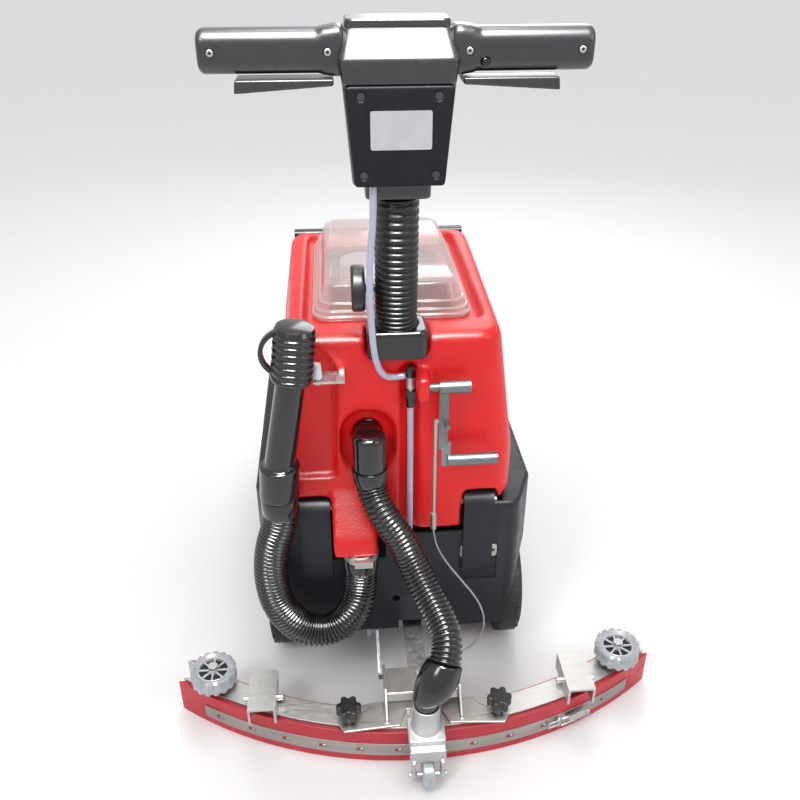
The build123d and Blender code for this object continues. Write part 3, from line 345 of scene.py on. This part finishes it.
def bendAlong(bm, line):
    # wraps a tube that stands on Z along a line, without twist
    distances, ways = [0.0], []
    for before, after in zip(line, line[1:]):
        distances.append(distances[-1] + (after - before).length)
        ways.append((after - before).normalized())
    ways.append(ways[-1])
    sides = [ways[0].orthogonal().normalized()]
    for way in ways[1:]:
        sides.append((sides[-1] - way * sides[-1].dot(way)).normalized())
    spot = {}
    for vert in bm.verts:
        height = round(vert.co.z, 6)
        if height not in spot:
            index = next((i for i, far in enumerate(distances) if far > height), len(distances) - 1) - 1
            index = max(0, index)
            share = (height - distances[index]) / (distances[index + 1] - distances[index])
            centre = line[index].lerp(line[index + 1], share)
            way = ways[index].lerp(ways[index + 1], min(max(share, 0), 1)).normalized()
            side = sides[index] - way * sides[index].dot(way)
            side.normalize()
            spot[height] = (centre, side, way.cross(side))
        centre, side, over = spot[height]
        vert.co = centre + side * vert.co.x + over * vert.co.y


def ribbedProfile(length, crest, valley, pitchAt):
    # valley, flank and crest of each rib, from the start to the end
    profile, height = [(valley, 0.0)], 0.0
    while height < length:
        pitch = pitchAt(height / length)
        for share, radius in ((0.12, valley), (0.26, crest * 0.985), (0.40, crest), (0.62, crest),
                              (0.76, crest * 0.985), (0.90, valley)):
            if height + share * pitch < length:
                profile.append((radius, height + share * pitch))
        height += pitch
    profile.append((valley, length))
    return profile


def hose(name, route, radius, finish, body, node, steps=36, pitch=0.0, depth=0.0):
    line = routeLine(route)
    length = lineLength(line)
    if pitch:
        profile = ribbedProfile(length, radius, radius - depth, lambda share: pitch)
    else:
        count = int(length / 0.004)
        profile = [(radius, length * i / count) for i in range(count + 1)]
    bm = turned([(0, 0)] + profile + [(0, length)], steps)
    bendAlong(bm, line)
    piece = addPiece(name, bm, finish, body, (node,), 180)
    return piece, line, length


# camera, light and floor
studio = {
    "eye": (-0.085, -1.3884, 1.2353), "pitchDown": 30, "yaw": 4.5, "lens": 38.25,
    "sky": 0.84, "floorGrey": 0.86, "floorHalf": 60}
camera = bpy.data.objects.new("camera", bpy.data.cameras.new("camera"))
camera.data.lens = studio["lens"]
camera.location = studio["eye"]
camera.rotation_euler = (math.radians(90 - studio["pitchDown"]), 0, math.radians(-studio["yaw"]))
bpy.context.scene.collection.objects.link(camera)
bpy.context.scene.camera = camera

bpy.context.scene.view_settings.view_transform = "Standard"

world = bpy.data.worlds.new("softRoom")
world.use_nodes = True
world.node_tree.nodes["Background"].inputs["Color"].default_value = (0.97, 0.975, 0.99, 1)
world.node_tree.nodes["Background"].inputs["Strength"].default_value = studio["sky"]
bpy.context.scene.world = world

lamps = {  # place, aim, size, watts
    "keyLamp": ((-1.4, -1.9, 2.5), (0, -0.1, 0.5), 0.8, 25),
    "fillLamp": ((1.9, -1.5, 1.7), (0, -0.1, 0.5), 1.0, 10),
    "topLamp": ((0.1, 0.5, 2.9), (0, 0, 0.6), 1.0, 20),
    "glareLamp": ((-0.05, -1.15, 2.9), (0, -0.3, 1.1), 1.1, 250),
    "backLamp": ((0.6, 2.2, 1.9), (0, 0.1, 0.5), 1.2, 15)}
for name, (place, aim, size, watts) in lamps.items():
    lamp = bpy.data.objects.new(name, bpy.data.lights.new(name, "AREA"))
    lamp.data.energy = watts
    lamp.data.size = size
    lamp.location = place
    lamp.rotation_euler = (Vector(aim) - Vector(place)).to_track_quat("-Z", "Y").to_euler()
    lamp.visible_diffuse = name != "glareLamp"  # the overhead strip is seen only in the gloss
    bpy.context.scene.collection.objects.link(lamp)

floorMesh = bmesh.new()
bmesh.ops.create_grid(floorMesh, x_segments=1, y_segments=1, size=studio["floorHalf"])
floor = bpy.data.objects.new("floor", bpy.data.meshes.new("floor"))
floorMesh.to_mesh(floor.data)
floorMesh.free()
floor.data.materials.append(surface("paleFloor", (studio["floorGrey"],) * 3, 0.99, 0.55, 0.03, 30, 0.02))
bpy.context.scene.collection.objects.link(floor)
print("studio ready")

# hoses and the lift rope
suction = {"radius": 0.025, "pitch": 0.0076, "depth": 0.0032, "route": [
    (-0.046, -0.285, 0.4757), (-0.046, -0.285, 0.444), (-0.031, -0.309, 0.406), (-0.001, -0.319, 0.362),
    (0.017, -0.330, 0.319), (0.037, -0.356, 0.282), (0.058, -0.392, 0.254), (0.069, -0.4295, 0.2314),
    (0.060, -0.446, 0.208)]}
drain = {"radius": 0.028, "pitch": 0.0070, "depth": 0.0036, "route": [
    (-0.188, -0.300, 0.4417), (-0.188, -0.300, 0.396), (-0.208, -0.305, 0.342), (-0.214, -0.309, 0.280),
    (-0.204, -0.312, 0.218), (-0.166, -0.313, 0.164), (-0.110, -0.312, 0.160), (-0.072, -0.304, 0.204),
    (-0.064, -0.286, 0.252), (-0.064, -0.286, 0.2997)]}
sensor = {"radius": 0.005, "route": [
    (-0.034, -0.2935, 0.9257), (-0.034, -0.2935, 0.880), (-0.040, -0.290, 0.826), (-0.041, -0.288, 0.770),
    (-0.039, -0.286, 0.716), (-0.035, -0.284, 0.668), (-0.025, -0.277, 0.636), (-0.008, -0.266, 0.624),
    (0.0115, -0.265, 0.627)]}
rope = {"radius": 0.0015, "route": [
    (0.055, -0.300, 0.3606), (0.057, -0.302, 0.334), (0.074, -0.309, 0.300), (0.102, -0.316, 0.262),
    (0.132, -0.322, 0.220), (0.146, -0.326, 0.178), (0.138, -0.330, 0.138), (0.108, -0.332, 0.108),
    (0.0626, -0.332, 0.091)]}

suctionHose, suctionLine, suctionLength = hose(
    "suctionHose", suction["route"], suction["radius"], "hoseBlack", None, "suction_hose", 40,
    suction["pitch"], suction["depth"])
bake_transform(suctionHose)
drainHose, drainLine, drainLength = hose(
    "drainHose", drain["route"], drain["radius"], "hoseBlack", None, "drain_hose", 40,
    drain["pitch"], drain["depth"])
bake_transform(drainHose)
sensorHose, sensorLine, sensorLength = hose(
    "sensorHose", sensor["route"], sensor["radius"], "hoseClear", None, "sensor_hose", 20)
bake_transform(sensorHose)
liftRope, ropeLine, ropeLength = hose(
    "liftRope", rope["route"], rope["radius"], "steel", None, "lift_rope", 12)
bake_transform(liftRope)
print("hoses", round(suctionLength, 3), round(drainLength, 3), round(sensorLength, 3), round(ropeLength, 3))

# bellows over the column
bellows = {"crest": 0.0315, "valley": 0.0265, "foot": (0, -0.2355, 0.697), "top": (0, -0.2497, 0.900),
           "tight": 0.0070, "open": 0.0128}
bellowsLine = [Vector(bellows["foot"]).lerp(Vector(bellows["top"]), i / 40) for i in range(41)]
bellowsLength = lineLength(bellowsLine)
bellowsShape = turned(
    [(0, 0)] + ribbedProfile(bellowsLength, bellows["crest"], bellows["valley"],
                             lambda share: bellows["tight"] + (bellows["open"] - bellows["tight"]) * share)
    + [(0, bellowsLength)], 48)
bendAlong(bellowsShape, bellowsLine)
bellowsPiece = addPiece("bellowsSleeve", bellowsShape, "bellowsBlack", None, ("bellows",), 180)
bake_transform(bellowsPiece)

# mouldings
moulded("tankShell", "tank_shell", 0.004, 8, "redTank", keep=0.55)
moulded("handleHousing", "handle_housing", 0.0018, 6, "handleGrey")
neck = {"in": 0.064, "out": 0.104, "half": (0.0215, 0.0255), "spread": 1.22}
gripCentre = (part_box("grips")[0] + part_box("grips")[1]) / 2
flares = []
for side in (-1, 1):
    near, far = side * neck["in"], side * neck["out"]
    flare = block((min(near, far), gripCentre.y - neck["half"][0], gripCentre.z - neck["half"][1]),
                  (max(near, far), gripCentre.y + neck["half"][0], gripCentre.z + neck["half"][1]))
    root = [vert for vert in flare.verts if abs(vert.co.x) < (neck["in"] + neck["out"]) / 2]
    bmesh.ops.scale(flare, vec=(1, neck["spread"], neck["spread"]), verts=root,
                    space=Matrix.Translation((0, -gripCentre.y, -gripCentre.z)))
    roundEdges(flare, 0.012, segments=4)
    flares.append(flare)
moulded("handleGrips", "grips", 0.0018, 6, "handleGrey", flares)
for node in ("trigger_left", "trigger_right"):
    moulded(node + "Paddle", node, 0.0013, 4, "handleGrey")
moulded("coverPlate", "cover_plate", 0.0014, 3, "coverGrey")
moulded("columnFoot", "column_foot", 0.0015, 5, "cuffBlack")
moulded("suctionPort", "suction_port", 0.0016, 5, "cuffBlack")
moulded("nozzleElbow", "nozzle_elbow", 0.0016, 5, "cuffBlack")
moulded("nozzleCasting", "nozzle", 0.0013, 4, "castAluminium")
moulded("drainPipe", "drain_pipe", 0.0018, 4, "cuffBlack")
moulded("tiltKnob", "tilt_knob", 0.0014, 4, "blackPlastic")
for node in ("star_knob_left", "star_knob_right"):
    moulded(node + "Grip", node, 0.0010, 4, "blackPlastic")
print("mouldings ready")

# clear lid
lid = {"middle": 0.012, "longer": 0.056, "corner": 0.028, "foot": 0.6765, "wall": 0.0026, "crease": 0.020,
       "tiers": [(0.1270, 0.6825), (0.1235, 0.6835), (0.1222, 0.6900), (0.1180, 0.6910), (0.1166, 0.7010),
                 (0.1120, 0.7022), (0.1082, 0.7210), (0.1058, 0.7272), (0.1005, 0.7312), (0.0930, 0.7328)]}
lidHalf = lid["tiers"][0][0]  # each tier is its half width and its height
lidShape = bmesh.new()
bmesh.ops.create_grid(lidShape, x_segments=1, y_segments=1, size=1, matrix=Matrix.Translation(
    (0, lid["middle"], lid["foot"])) @ Matrix.Diagonal((lidHalf, lidHalf + lid["longer"], 1, 1)))
bmesh.ops.bevel(lidShape, geom=lidShape.verts[:], offset=lid["corner"], offset_type="OFFSET", segments=8,
                profile=0.5, affect="VERTICES", material=-1)
lidShape.faces.ensure_lookup_table()
panel = lidShape.faces[0]
if panel.normal.z < 0:
    panel.normal_flip()
for newHalf, height in lid["tiers"]:
    raised = bmesh.ops.extrude_discrete_faces(lidShape, faces=[panel])["faces"][0]
    bmesh.ops.scale(lidShape, vec=(newHalf / lidHalf, (newHalf + lid["longer"]) / (lidHalf + lid["longer"]), 1),
                    space=Matrix.Translation((0, -lid["middle"], 0)), verts=raised.verts)
    bmesh.ops.translate(lidShape, vec=(0, 0, height - raised.verts[0].co.z), verts=raised.verts)
    panel, lidHalf = raised, newHalf
bmesh.ops.remove_doubles(lidShape, verts=lidShape.verts, dist=1e-6)
for offset in (-0.0016, 0, 0.0016):
    bmesh.ops.bisect_plane(lidShape, geom=lidShape.verts[:] + lidShape.edges[:] + lidShape.faces[:],
                           plane_co=(0, lid["crease"] + offset, 0), plane_no=(0, 1, 0))
lidTop = max(vert.co.z for vert in lidShape.verts)
for vert in lidShape.verts:
    if abs(vert.co.y - lid["crease"]) < 0.0004 and vert.co.z > lidTop - 0.008:
        vert.co.z -= 0.0012
roundEdges(lidShape, 0.0014, 24, 3)
bmesh.ops.recalc_face_normals(lidShape, faces=lidShape.faces)
lidPiece = addPiece("clearLid", lidShape, "clearLid", bodyOf["dome_lid"], ("dome_lid",), 50)
wall = lidPiece.modifiers.new("wall", "SOLIDIFY")
wall.thickness = lid["wall"]
wall.offset = -1

# drain cap with its tether
cap = {"foot": (-0.157, -0.300, 0.6455), "top": (-0.1465, -0.300, 0.7325), "radius": 0.031, "groove": 0.0285,
       "ringPitch": 0.0108, "tether": (0.0385, 0.0315, 0.006)}
capHeight = (Vector(cap["top"]) - Vector(cap["foot"])).length
capRings = ribbedProfile(capHeight - 0.010, cap["radius"], cap["groove"], lambda share: cap["ringPitch"])
capShape = turned([(0, 0)] + capRings + [(0.030, capHeight - 0.008), (0.027, capHeight - 0.002),
                                         (0.020, capHeight), (0, capHeight)], 56)
bmesh.ops.transform(capShape, verts=capShape.verts,
                    matrix=facing(cap["foot"], Vector(cap["top"]) - Vector(cap["foot"])))
outer, inner, halfWide = cap["tether"]
tether = turned([(inner, -halfWide), (outer, -halfWide), (outer, halfWide), (inner, halfWide)], 48, True)
roundEdges(tether, 0.0015, 60)
join(capShape, tether, facing((-0.1632, -0.300, 0.6895), (0, 1, 0)))
addPiece("drainCap", capShape, "cuffBlack", bodyOf["drain_cap"], ("drain_cap",), 40)

# smooth ends of the hoses
cuffs = {
    "drainCuffLow": ("tank", (-0.064, -0.286, 0.2995), (-0.064, -0.2856, 0.276), 0.0292, 0.0300),
    "drainCuffHigh": ("tank", (-0.188, -0.300, 0.442), (-0.188, -0.300, 0.410), 0.0300, 0.0298),
    "suctionCuff": ("tank", (-0.046, -0.285, 0.4765), (-0.045, -0.286, 0.452), 0.0285, 0.0275)}
for name, (body, start, end, radius, endRadius) in cuffs.items():
    addPiece(name, rod(start, end, radius, endRadius, 48, 0.0015), "cuffBlack", body)

# label and grip screws
label = {"low": (-0.0370, -0.3131, 0.974), "high": (0.0400, -0.3122, 1.0215)}
labelShape = block(label["low"], label["high"])
uprights = [edge for edge in labelShape.edges if abs(edge.verts[0].co.y - edge.verts[1].co.y) > 0.0005]
roundEdges(labelShape, 0.0028, edges=uprights, segments=5)
addPiece("blankLabel", labelShape, "plateSilver", "handle")
screws = {"head": 0.0042, "well": 0.0068, "height": 1.087, "inner": (0.086, -0.2952), "outer": (0.226, -0.2938)}
wells = bmesh.new()
heads = bmesh.new()
for side, place in ((-1, "inner"), (1, "inner"), (-1, "outer"), (1, "outer")):
    across, back = screws[place]
    face = Vector((side * across, back, screws["height"]))
    ring = turned([(screws["head"], -0.001), (screws["well"], -0.001), (screws["well"] - 0.0006, 0.0006),
                   (screws["head"], 0.0004)], 28, True)
    join(wells, ring, facing(face, (0, -1, 0)))
    head = turned([(0, -0.0005), (screws["head"], -0.0005), (screws["head"], 0.0006), (0.0034, 0.0011),
                   (0.0021, 0.0011), (0.0019, 0.0001), (0, 0.0001)], 24)
    join(heads, head, facing(face, (0, -1, 0)))
addPiece("gripScrewWells", wells, "blackPlastic", "handle")
addPiece("gripScrews", heads, "zinc", "handle")
print("lid, cap, cuffs and label ready")

# level hose fitting and the white plug on the hook strip
sleeves = {  # foot, top, radius at each and rounding
    "lower": ((0.0200, -0.2620, 0.572), (0.0200, -0.2630, 0.604), 0.0078, 0.0088, 0.0012),
    "upper": ((0.0195, -0.2635, 0.624), (0.0195, -0.2640, 0.643), 0.0078, 0.0062, 0.0020)}
plug = {"foot": (-0.120, -0.284, 0.6385), "top": (-0.120, -0.284, 0.6625), "radii": (0.0074, 0.0058)}
fitting = bmesh.new()
for foot, top, radius, topRadius, rounding in sleeves.values():
    join(fitting, rod(foot, top, radius, topRadius, 32, rounding))
addPiece("levelFittingSleeves", fitting, "cuffBlack", "tank")
addPiece("whitePlug", rod(plug["foot"], plug["top"], *plug["radii"], 28, 0.0016),
         "whitePlastic", "tank")
print("level hose fitting ready")

# the squeegee's parts lie round one upright axis
bend = {"centre": (0.030, 0.232), "radius": 0.694}
centre = Vector((*bend["centre"], 0))


def aroundBend(angle, radius, height):
    return centre + Vector((radius * math.sin(angle), -radius * math.cos(angle), height))


# toggle latch; its wire loop stays hooked in the strap
toggle = {"turn": math.radians(19.5), "radius": 0.697, "height": 0.030, "wire": 0.0013, "loopHalf": 0.0055,
          "cheekAt": 0.0078, "cheekHalf": 0.0007, "axle": 0.0026, "axleHalf": 0.0092}
hold = aroundBend(toggle["turn"], toggle["radius"], toggle["height"])
latchPlace = Matrix.Translation(hold) @ Matrix.Rotation(toggle["turn"], 4, "Z")
latch = block((0.020, -0.0058, -0.0085), (0.058, -0.0040, 0.0085), 0.0006)
join(latch, block((0.054, -0.0072, -0.0060), (0.061, -0.0040, 0.0060), 0.0012))
loop = bmesh.new()
for side in (-1, 1):
    cheek, wire = side * toggle["cheekAt"], side * toggle["loopHalf"]
    join(latch, block((0.004, -0.0066, cheek - toggle["cheekHalf"]), (0.034, -0.0022, cheek + toggle["cheekHalf"]),
                      0.0004))
    join(loop, rod((-0.020, -0.0036, wire), (-0.001, -0.0040, wire), toggle["wire"], steps=12))
join(loop, rod((-0.020, -0.0036, -0.0065), (-0.020, -0.0036, 0.0065), 0.0014, steps=12))
join(latch, rod((0, -0.0030, -toggle["axleHalf"]), (0, -0.0030, toggle["axleHalf"]), toggle["axle"], steps=20,
                rounding=0.0005))
for shape in (latch, loop):
    bmesh.ops.transform(shape, matrix=latchPlace, verts=shape.verts)
addPiece("toggleLoop", loop, "zinc", "squeegee")
addPiece("toggleLatch", latch, "zinc", bodyOf["strap_latch"], ("strap_latch",))

# slotted strap with a pin behind each window
strap = {"rows": (0.0165, 0.0265, 0.0335, 0.0435), "half": 0.372, "steps": 62, "every": 5, "thick": 0.0014,
         "clear": 0.0017, "pin": (0.0028, 0.0008, 0.0018), "pinClear": 0.0009, "pinShift": 0.0035,
         "pinHeight": 0.0300}
halfTurn = math.asin(strap["half"] / bend["radius"])
strapShape = bmesh.new()
column = [strapShape.verts.new(aroundBend(-halfTurn, bend["radius"] + strap["clear"], height))
          for height in strap["rows"]]
ladder = [strapShape.edges.new(pair) for pair in zip(column, column[1:])]
bmesh.ops.spin(strapShape, geom=column + ladder, cent=centre, axis=(0, 0, 1), angle=2 * halfTurn,
               steps=strap["steps"], use_duplicate=False)
stepTurn = 2 * halfTurn / strap["steps"]
windows = []
pinAngles = []
for face in strapShape.faces:
    spot = face.calc_center_median()
    turn = math.atan2(spot.x - centre.x, centre.y - spot.y)
    step = int(round((turn + halfTurn) / stepTurn - 0.5))
    if step % strap["every"] == 2 and strap["rows"][1] < spot.z < strap["rows"][2]:
        windows.append(face)
        pinAngles.append(turn)
bmesh.ops.delete(strapShape, geom=windows, context="FACES")
bmesh.ops.recalc_face_normals(strapShape, faces=strapShape.faces)
bmesh.ops.solidify(strapShape, geom=strapShape.faces[:], thickness=strap["thick"])
roundEdges(strapShape, 0.0003, 50, 1)
addPiece("slottedStrap", strapShape, "strapSteel", "squeegee", ("tension_strap",))
pins = bmesh.new()
for turn in pinAngles:
    pin = block(-Vector(strap["pin"]), strap["pin"], 0.0005)
    spot = aroundBend(turn + strap["pinShift"], bend["radius"] + strap["pinClear"], strap["pinHeight"])
    join(pins, pin, Matrix.Translation(spot) @ Matrix.Rotation(turn, 4, "Z"))
addPiece("strapPins", pins, "zinc", "squeegee")

# rollers, castors and drive wheels
guide = {"tyre": 0.0386, "bore": 0.0265, "rimIn": 0.0245, "hub": 0.0080, "spokes": 8, "lugs": 16}
for node in ("roller_left", "roller_right"):
    low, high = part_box(node)
    place = Matrix.Translation(((low.x + high.x) / 2, (low.y + high.y) / 2, 0))
    foot, top = low.z, high.z
    tyre = turned([(guide["bore"], foot + 0.003), (0.033, foot), (0.0374, foot + 0.003), (0.0378, foot + 0.0135),
                   (0.0374, top - 0.003), (0.033, top), (guide["bore"], top - 0.003)], 54, True)
    for lug in range(guide["lugs"]):
        for z, twist in ((top - 0.0075, 0), (foot + 0.0075, 0.5)):
            turn = Matrix.Rotation(2 * math.pi * (lug + twist) / guide["lugs"], 4, "Z")
            bump = block((0.0325, -0.0040, z - 0.0078), (guide["tyre"], 0.0040, z + 0.0070), 0.0010, 1)
            join(tyre, bump, turn)
    bmesh.ops.transform(tyre, matrix=place, verts=tyre.verts)
    addPiece(node + "Tyre", tyre, "rollerGrey", bodyOf[node], (node,), 30)
    rim = turned([(guide["rimIn"], foot + 0.004), (0.0268, foot + 0.004), (0.0268, top - 0.0030),
                  (0.0256, top - 0.0022), (guide["rimIn"], top - 0.0035)], 48, True)
    join(rim, turned([(0.0056, foot + 0.002), (guide["hub"], foot + 0.003), (guide["hub"], top - 0.001),
                      (0.0070, top), (0.0056, top)], 32, True))
    for spoke in range(guide["spokes"]):
        arm = block((0.0072, -0.0014, top - 0.0075), (0.0250, 0.0014, top - 0.0040), 0.0006, 1)
        join(rim, arm, Matrix.Rotation(2 * math.pi * spoke / guide["spokes"], 4, "Z"))
    bmesh.ops.transform(rim, matrix=place, verts=rim.verts)
    addPiece(node + "Rim", rim, "rimWhite", bodyOf[node])
    # a black disc just under the spokes: painted shade that darkens the gaps between the spokes
    gapShadeDisc = turned([(0.0070, top - 0.012), (0.0248, top - 0.012), (0.0248, top - 0.009), (0.0070, top - 0.009)],
                 40, True)
    bmesh.ops.transform(gapShadeDisc, matrix=place, verts=gapShadeDisc.verts)
    addPiece(node + "GapShade", gapShadeDisc, "blackPlastic", bodyOf[node])

wheels = {  # tyre finish, bead as a share of the radius, tread blocks and rim finish
    "drive_wheel_left": ("tyreRubber", 0.62, 22, "rimWhite"),
    "drive_wheel_right": ("tyreRubber", 0.62, 22, "rimWhite"),
    "castor_wheel": ("rollerGrey", 0.66, 0, "rimWhite"),
    "squeegee_castor_wheel": ("rollerGrey", 0.62, 0, "rimWhite")}
for node, (rubber, bead, grooves, rimFinish) in wheels.items():
    low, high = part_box(node)
    middle = (low + high) / 2
    radius, half = (high.z - low.z) / 2, (high.x - low.x) / 2
    inside, shoulder = radius * bead, min(half * 0.45, radius * 0.12)
    place = Matrix.Translation(middle) @ Matrix.Rotation(math.pi / 2, 4, "Y")
    profile = [(inside, -half * 0.8), (radius - shoulder * 1.8, -half), (radius - shoulder * 0.6, -half * 0.88),
               (radius, -half + shoulder), (radius, half - shoulder), (radius - shoulder * 0.6, half * 0.88),
               (radius - shoulder * 1.8, half), (inside, half * 0.8)]
    tyre = turned(profile, 72, True)
    for groove in range(grooves):
        for side in (-1, 1):
            rib = block((radius * 0.90, -0.0045, 0.002 * side if side > 0 else -half * 0.8),
                        (radius * 0.998, 0.0045, half * 0.8 if side > 0 else -0.002), 0.001, 1)
            join(tyre, rib, Matrix.Rotation(2 * math.pi * (groove + side * 0.25) / grooves, 4, "Z"))
    bmesh.ops.transform(tyre, matrix=place, verts=tyre.verts)
    addPiece(node + "Tyre", tyre, rubber, bodyOf[node], (node,), 30)
    hub = radius * 0.2
    rim = turned([(hub * 0.5, -half * 0.9), (hub, -half * 0.9), (hub * 1.15, -half * 0.25),
                  (inside * 0.86, -half * 0.25), (inside * 0.94, -half * 0.8), (inside * 1.03, -half * 0.8),
                  (inside * 1.03, half * 0.8), (inside * 0.94, half * 0.8), (inside * 0.86, half * 0.25),
                  (hub * 1.15, half * 0.25), (hub, half * 0.9), (hub * 0.5, half * 0.9)], 64, True)
    bmesh.ops.transform(rim, matrix=place, verts=rim.verts)
    addPiece(node + "Rim", rim, rimFinish, bodyOf[node])
print("squeegee and wheels ready")

wanted = {  # finish, edge width and rounds of the nodes that differ from the rest
    "squeegee_lever": ("leverSteel", 0.0011, 2), "handle_screws": ("darkMetal", 0.0006, 2),
    "base_housing": ("baseGrey", 0.0022, 3),
    "support_brackets": ("aluminium", 0.0010, 2), "front_bar": ("blackPlastic", 0.0080, 4),
    "mount_bracket": ("steel", 0.0010, 2)}
for node, part in frame["nodes"].items():
    if not part.hide_render:
        finish, width, segments = wanted.get(node, (None, 0.0008, 2))
        dress(node, finish, width, segments)
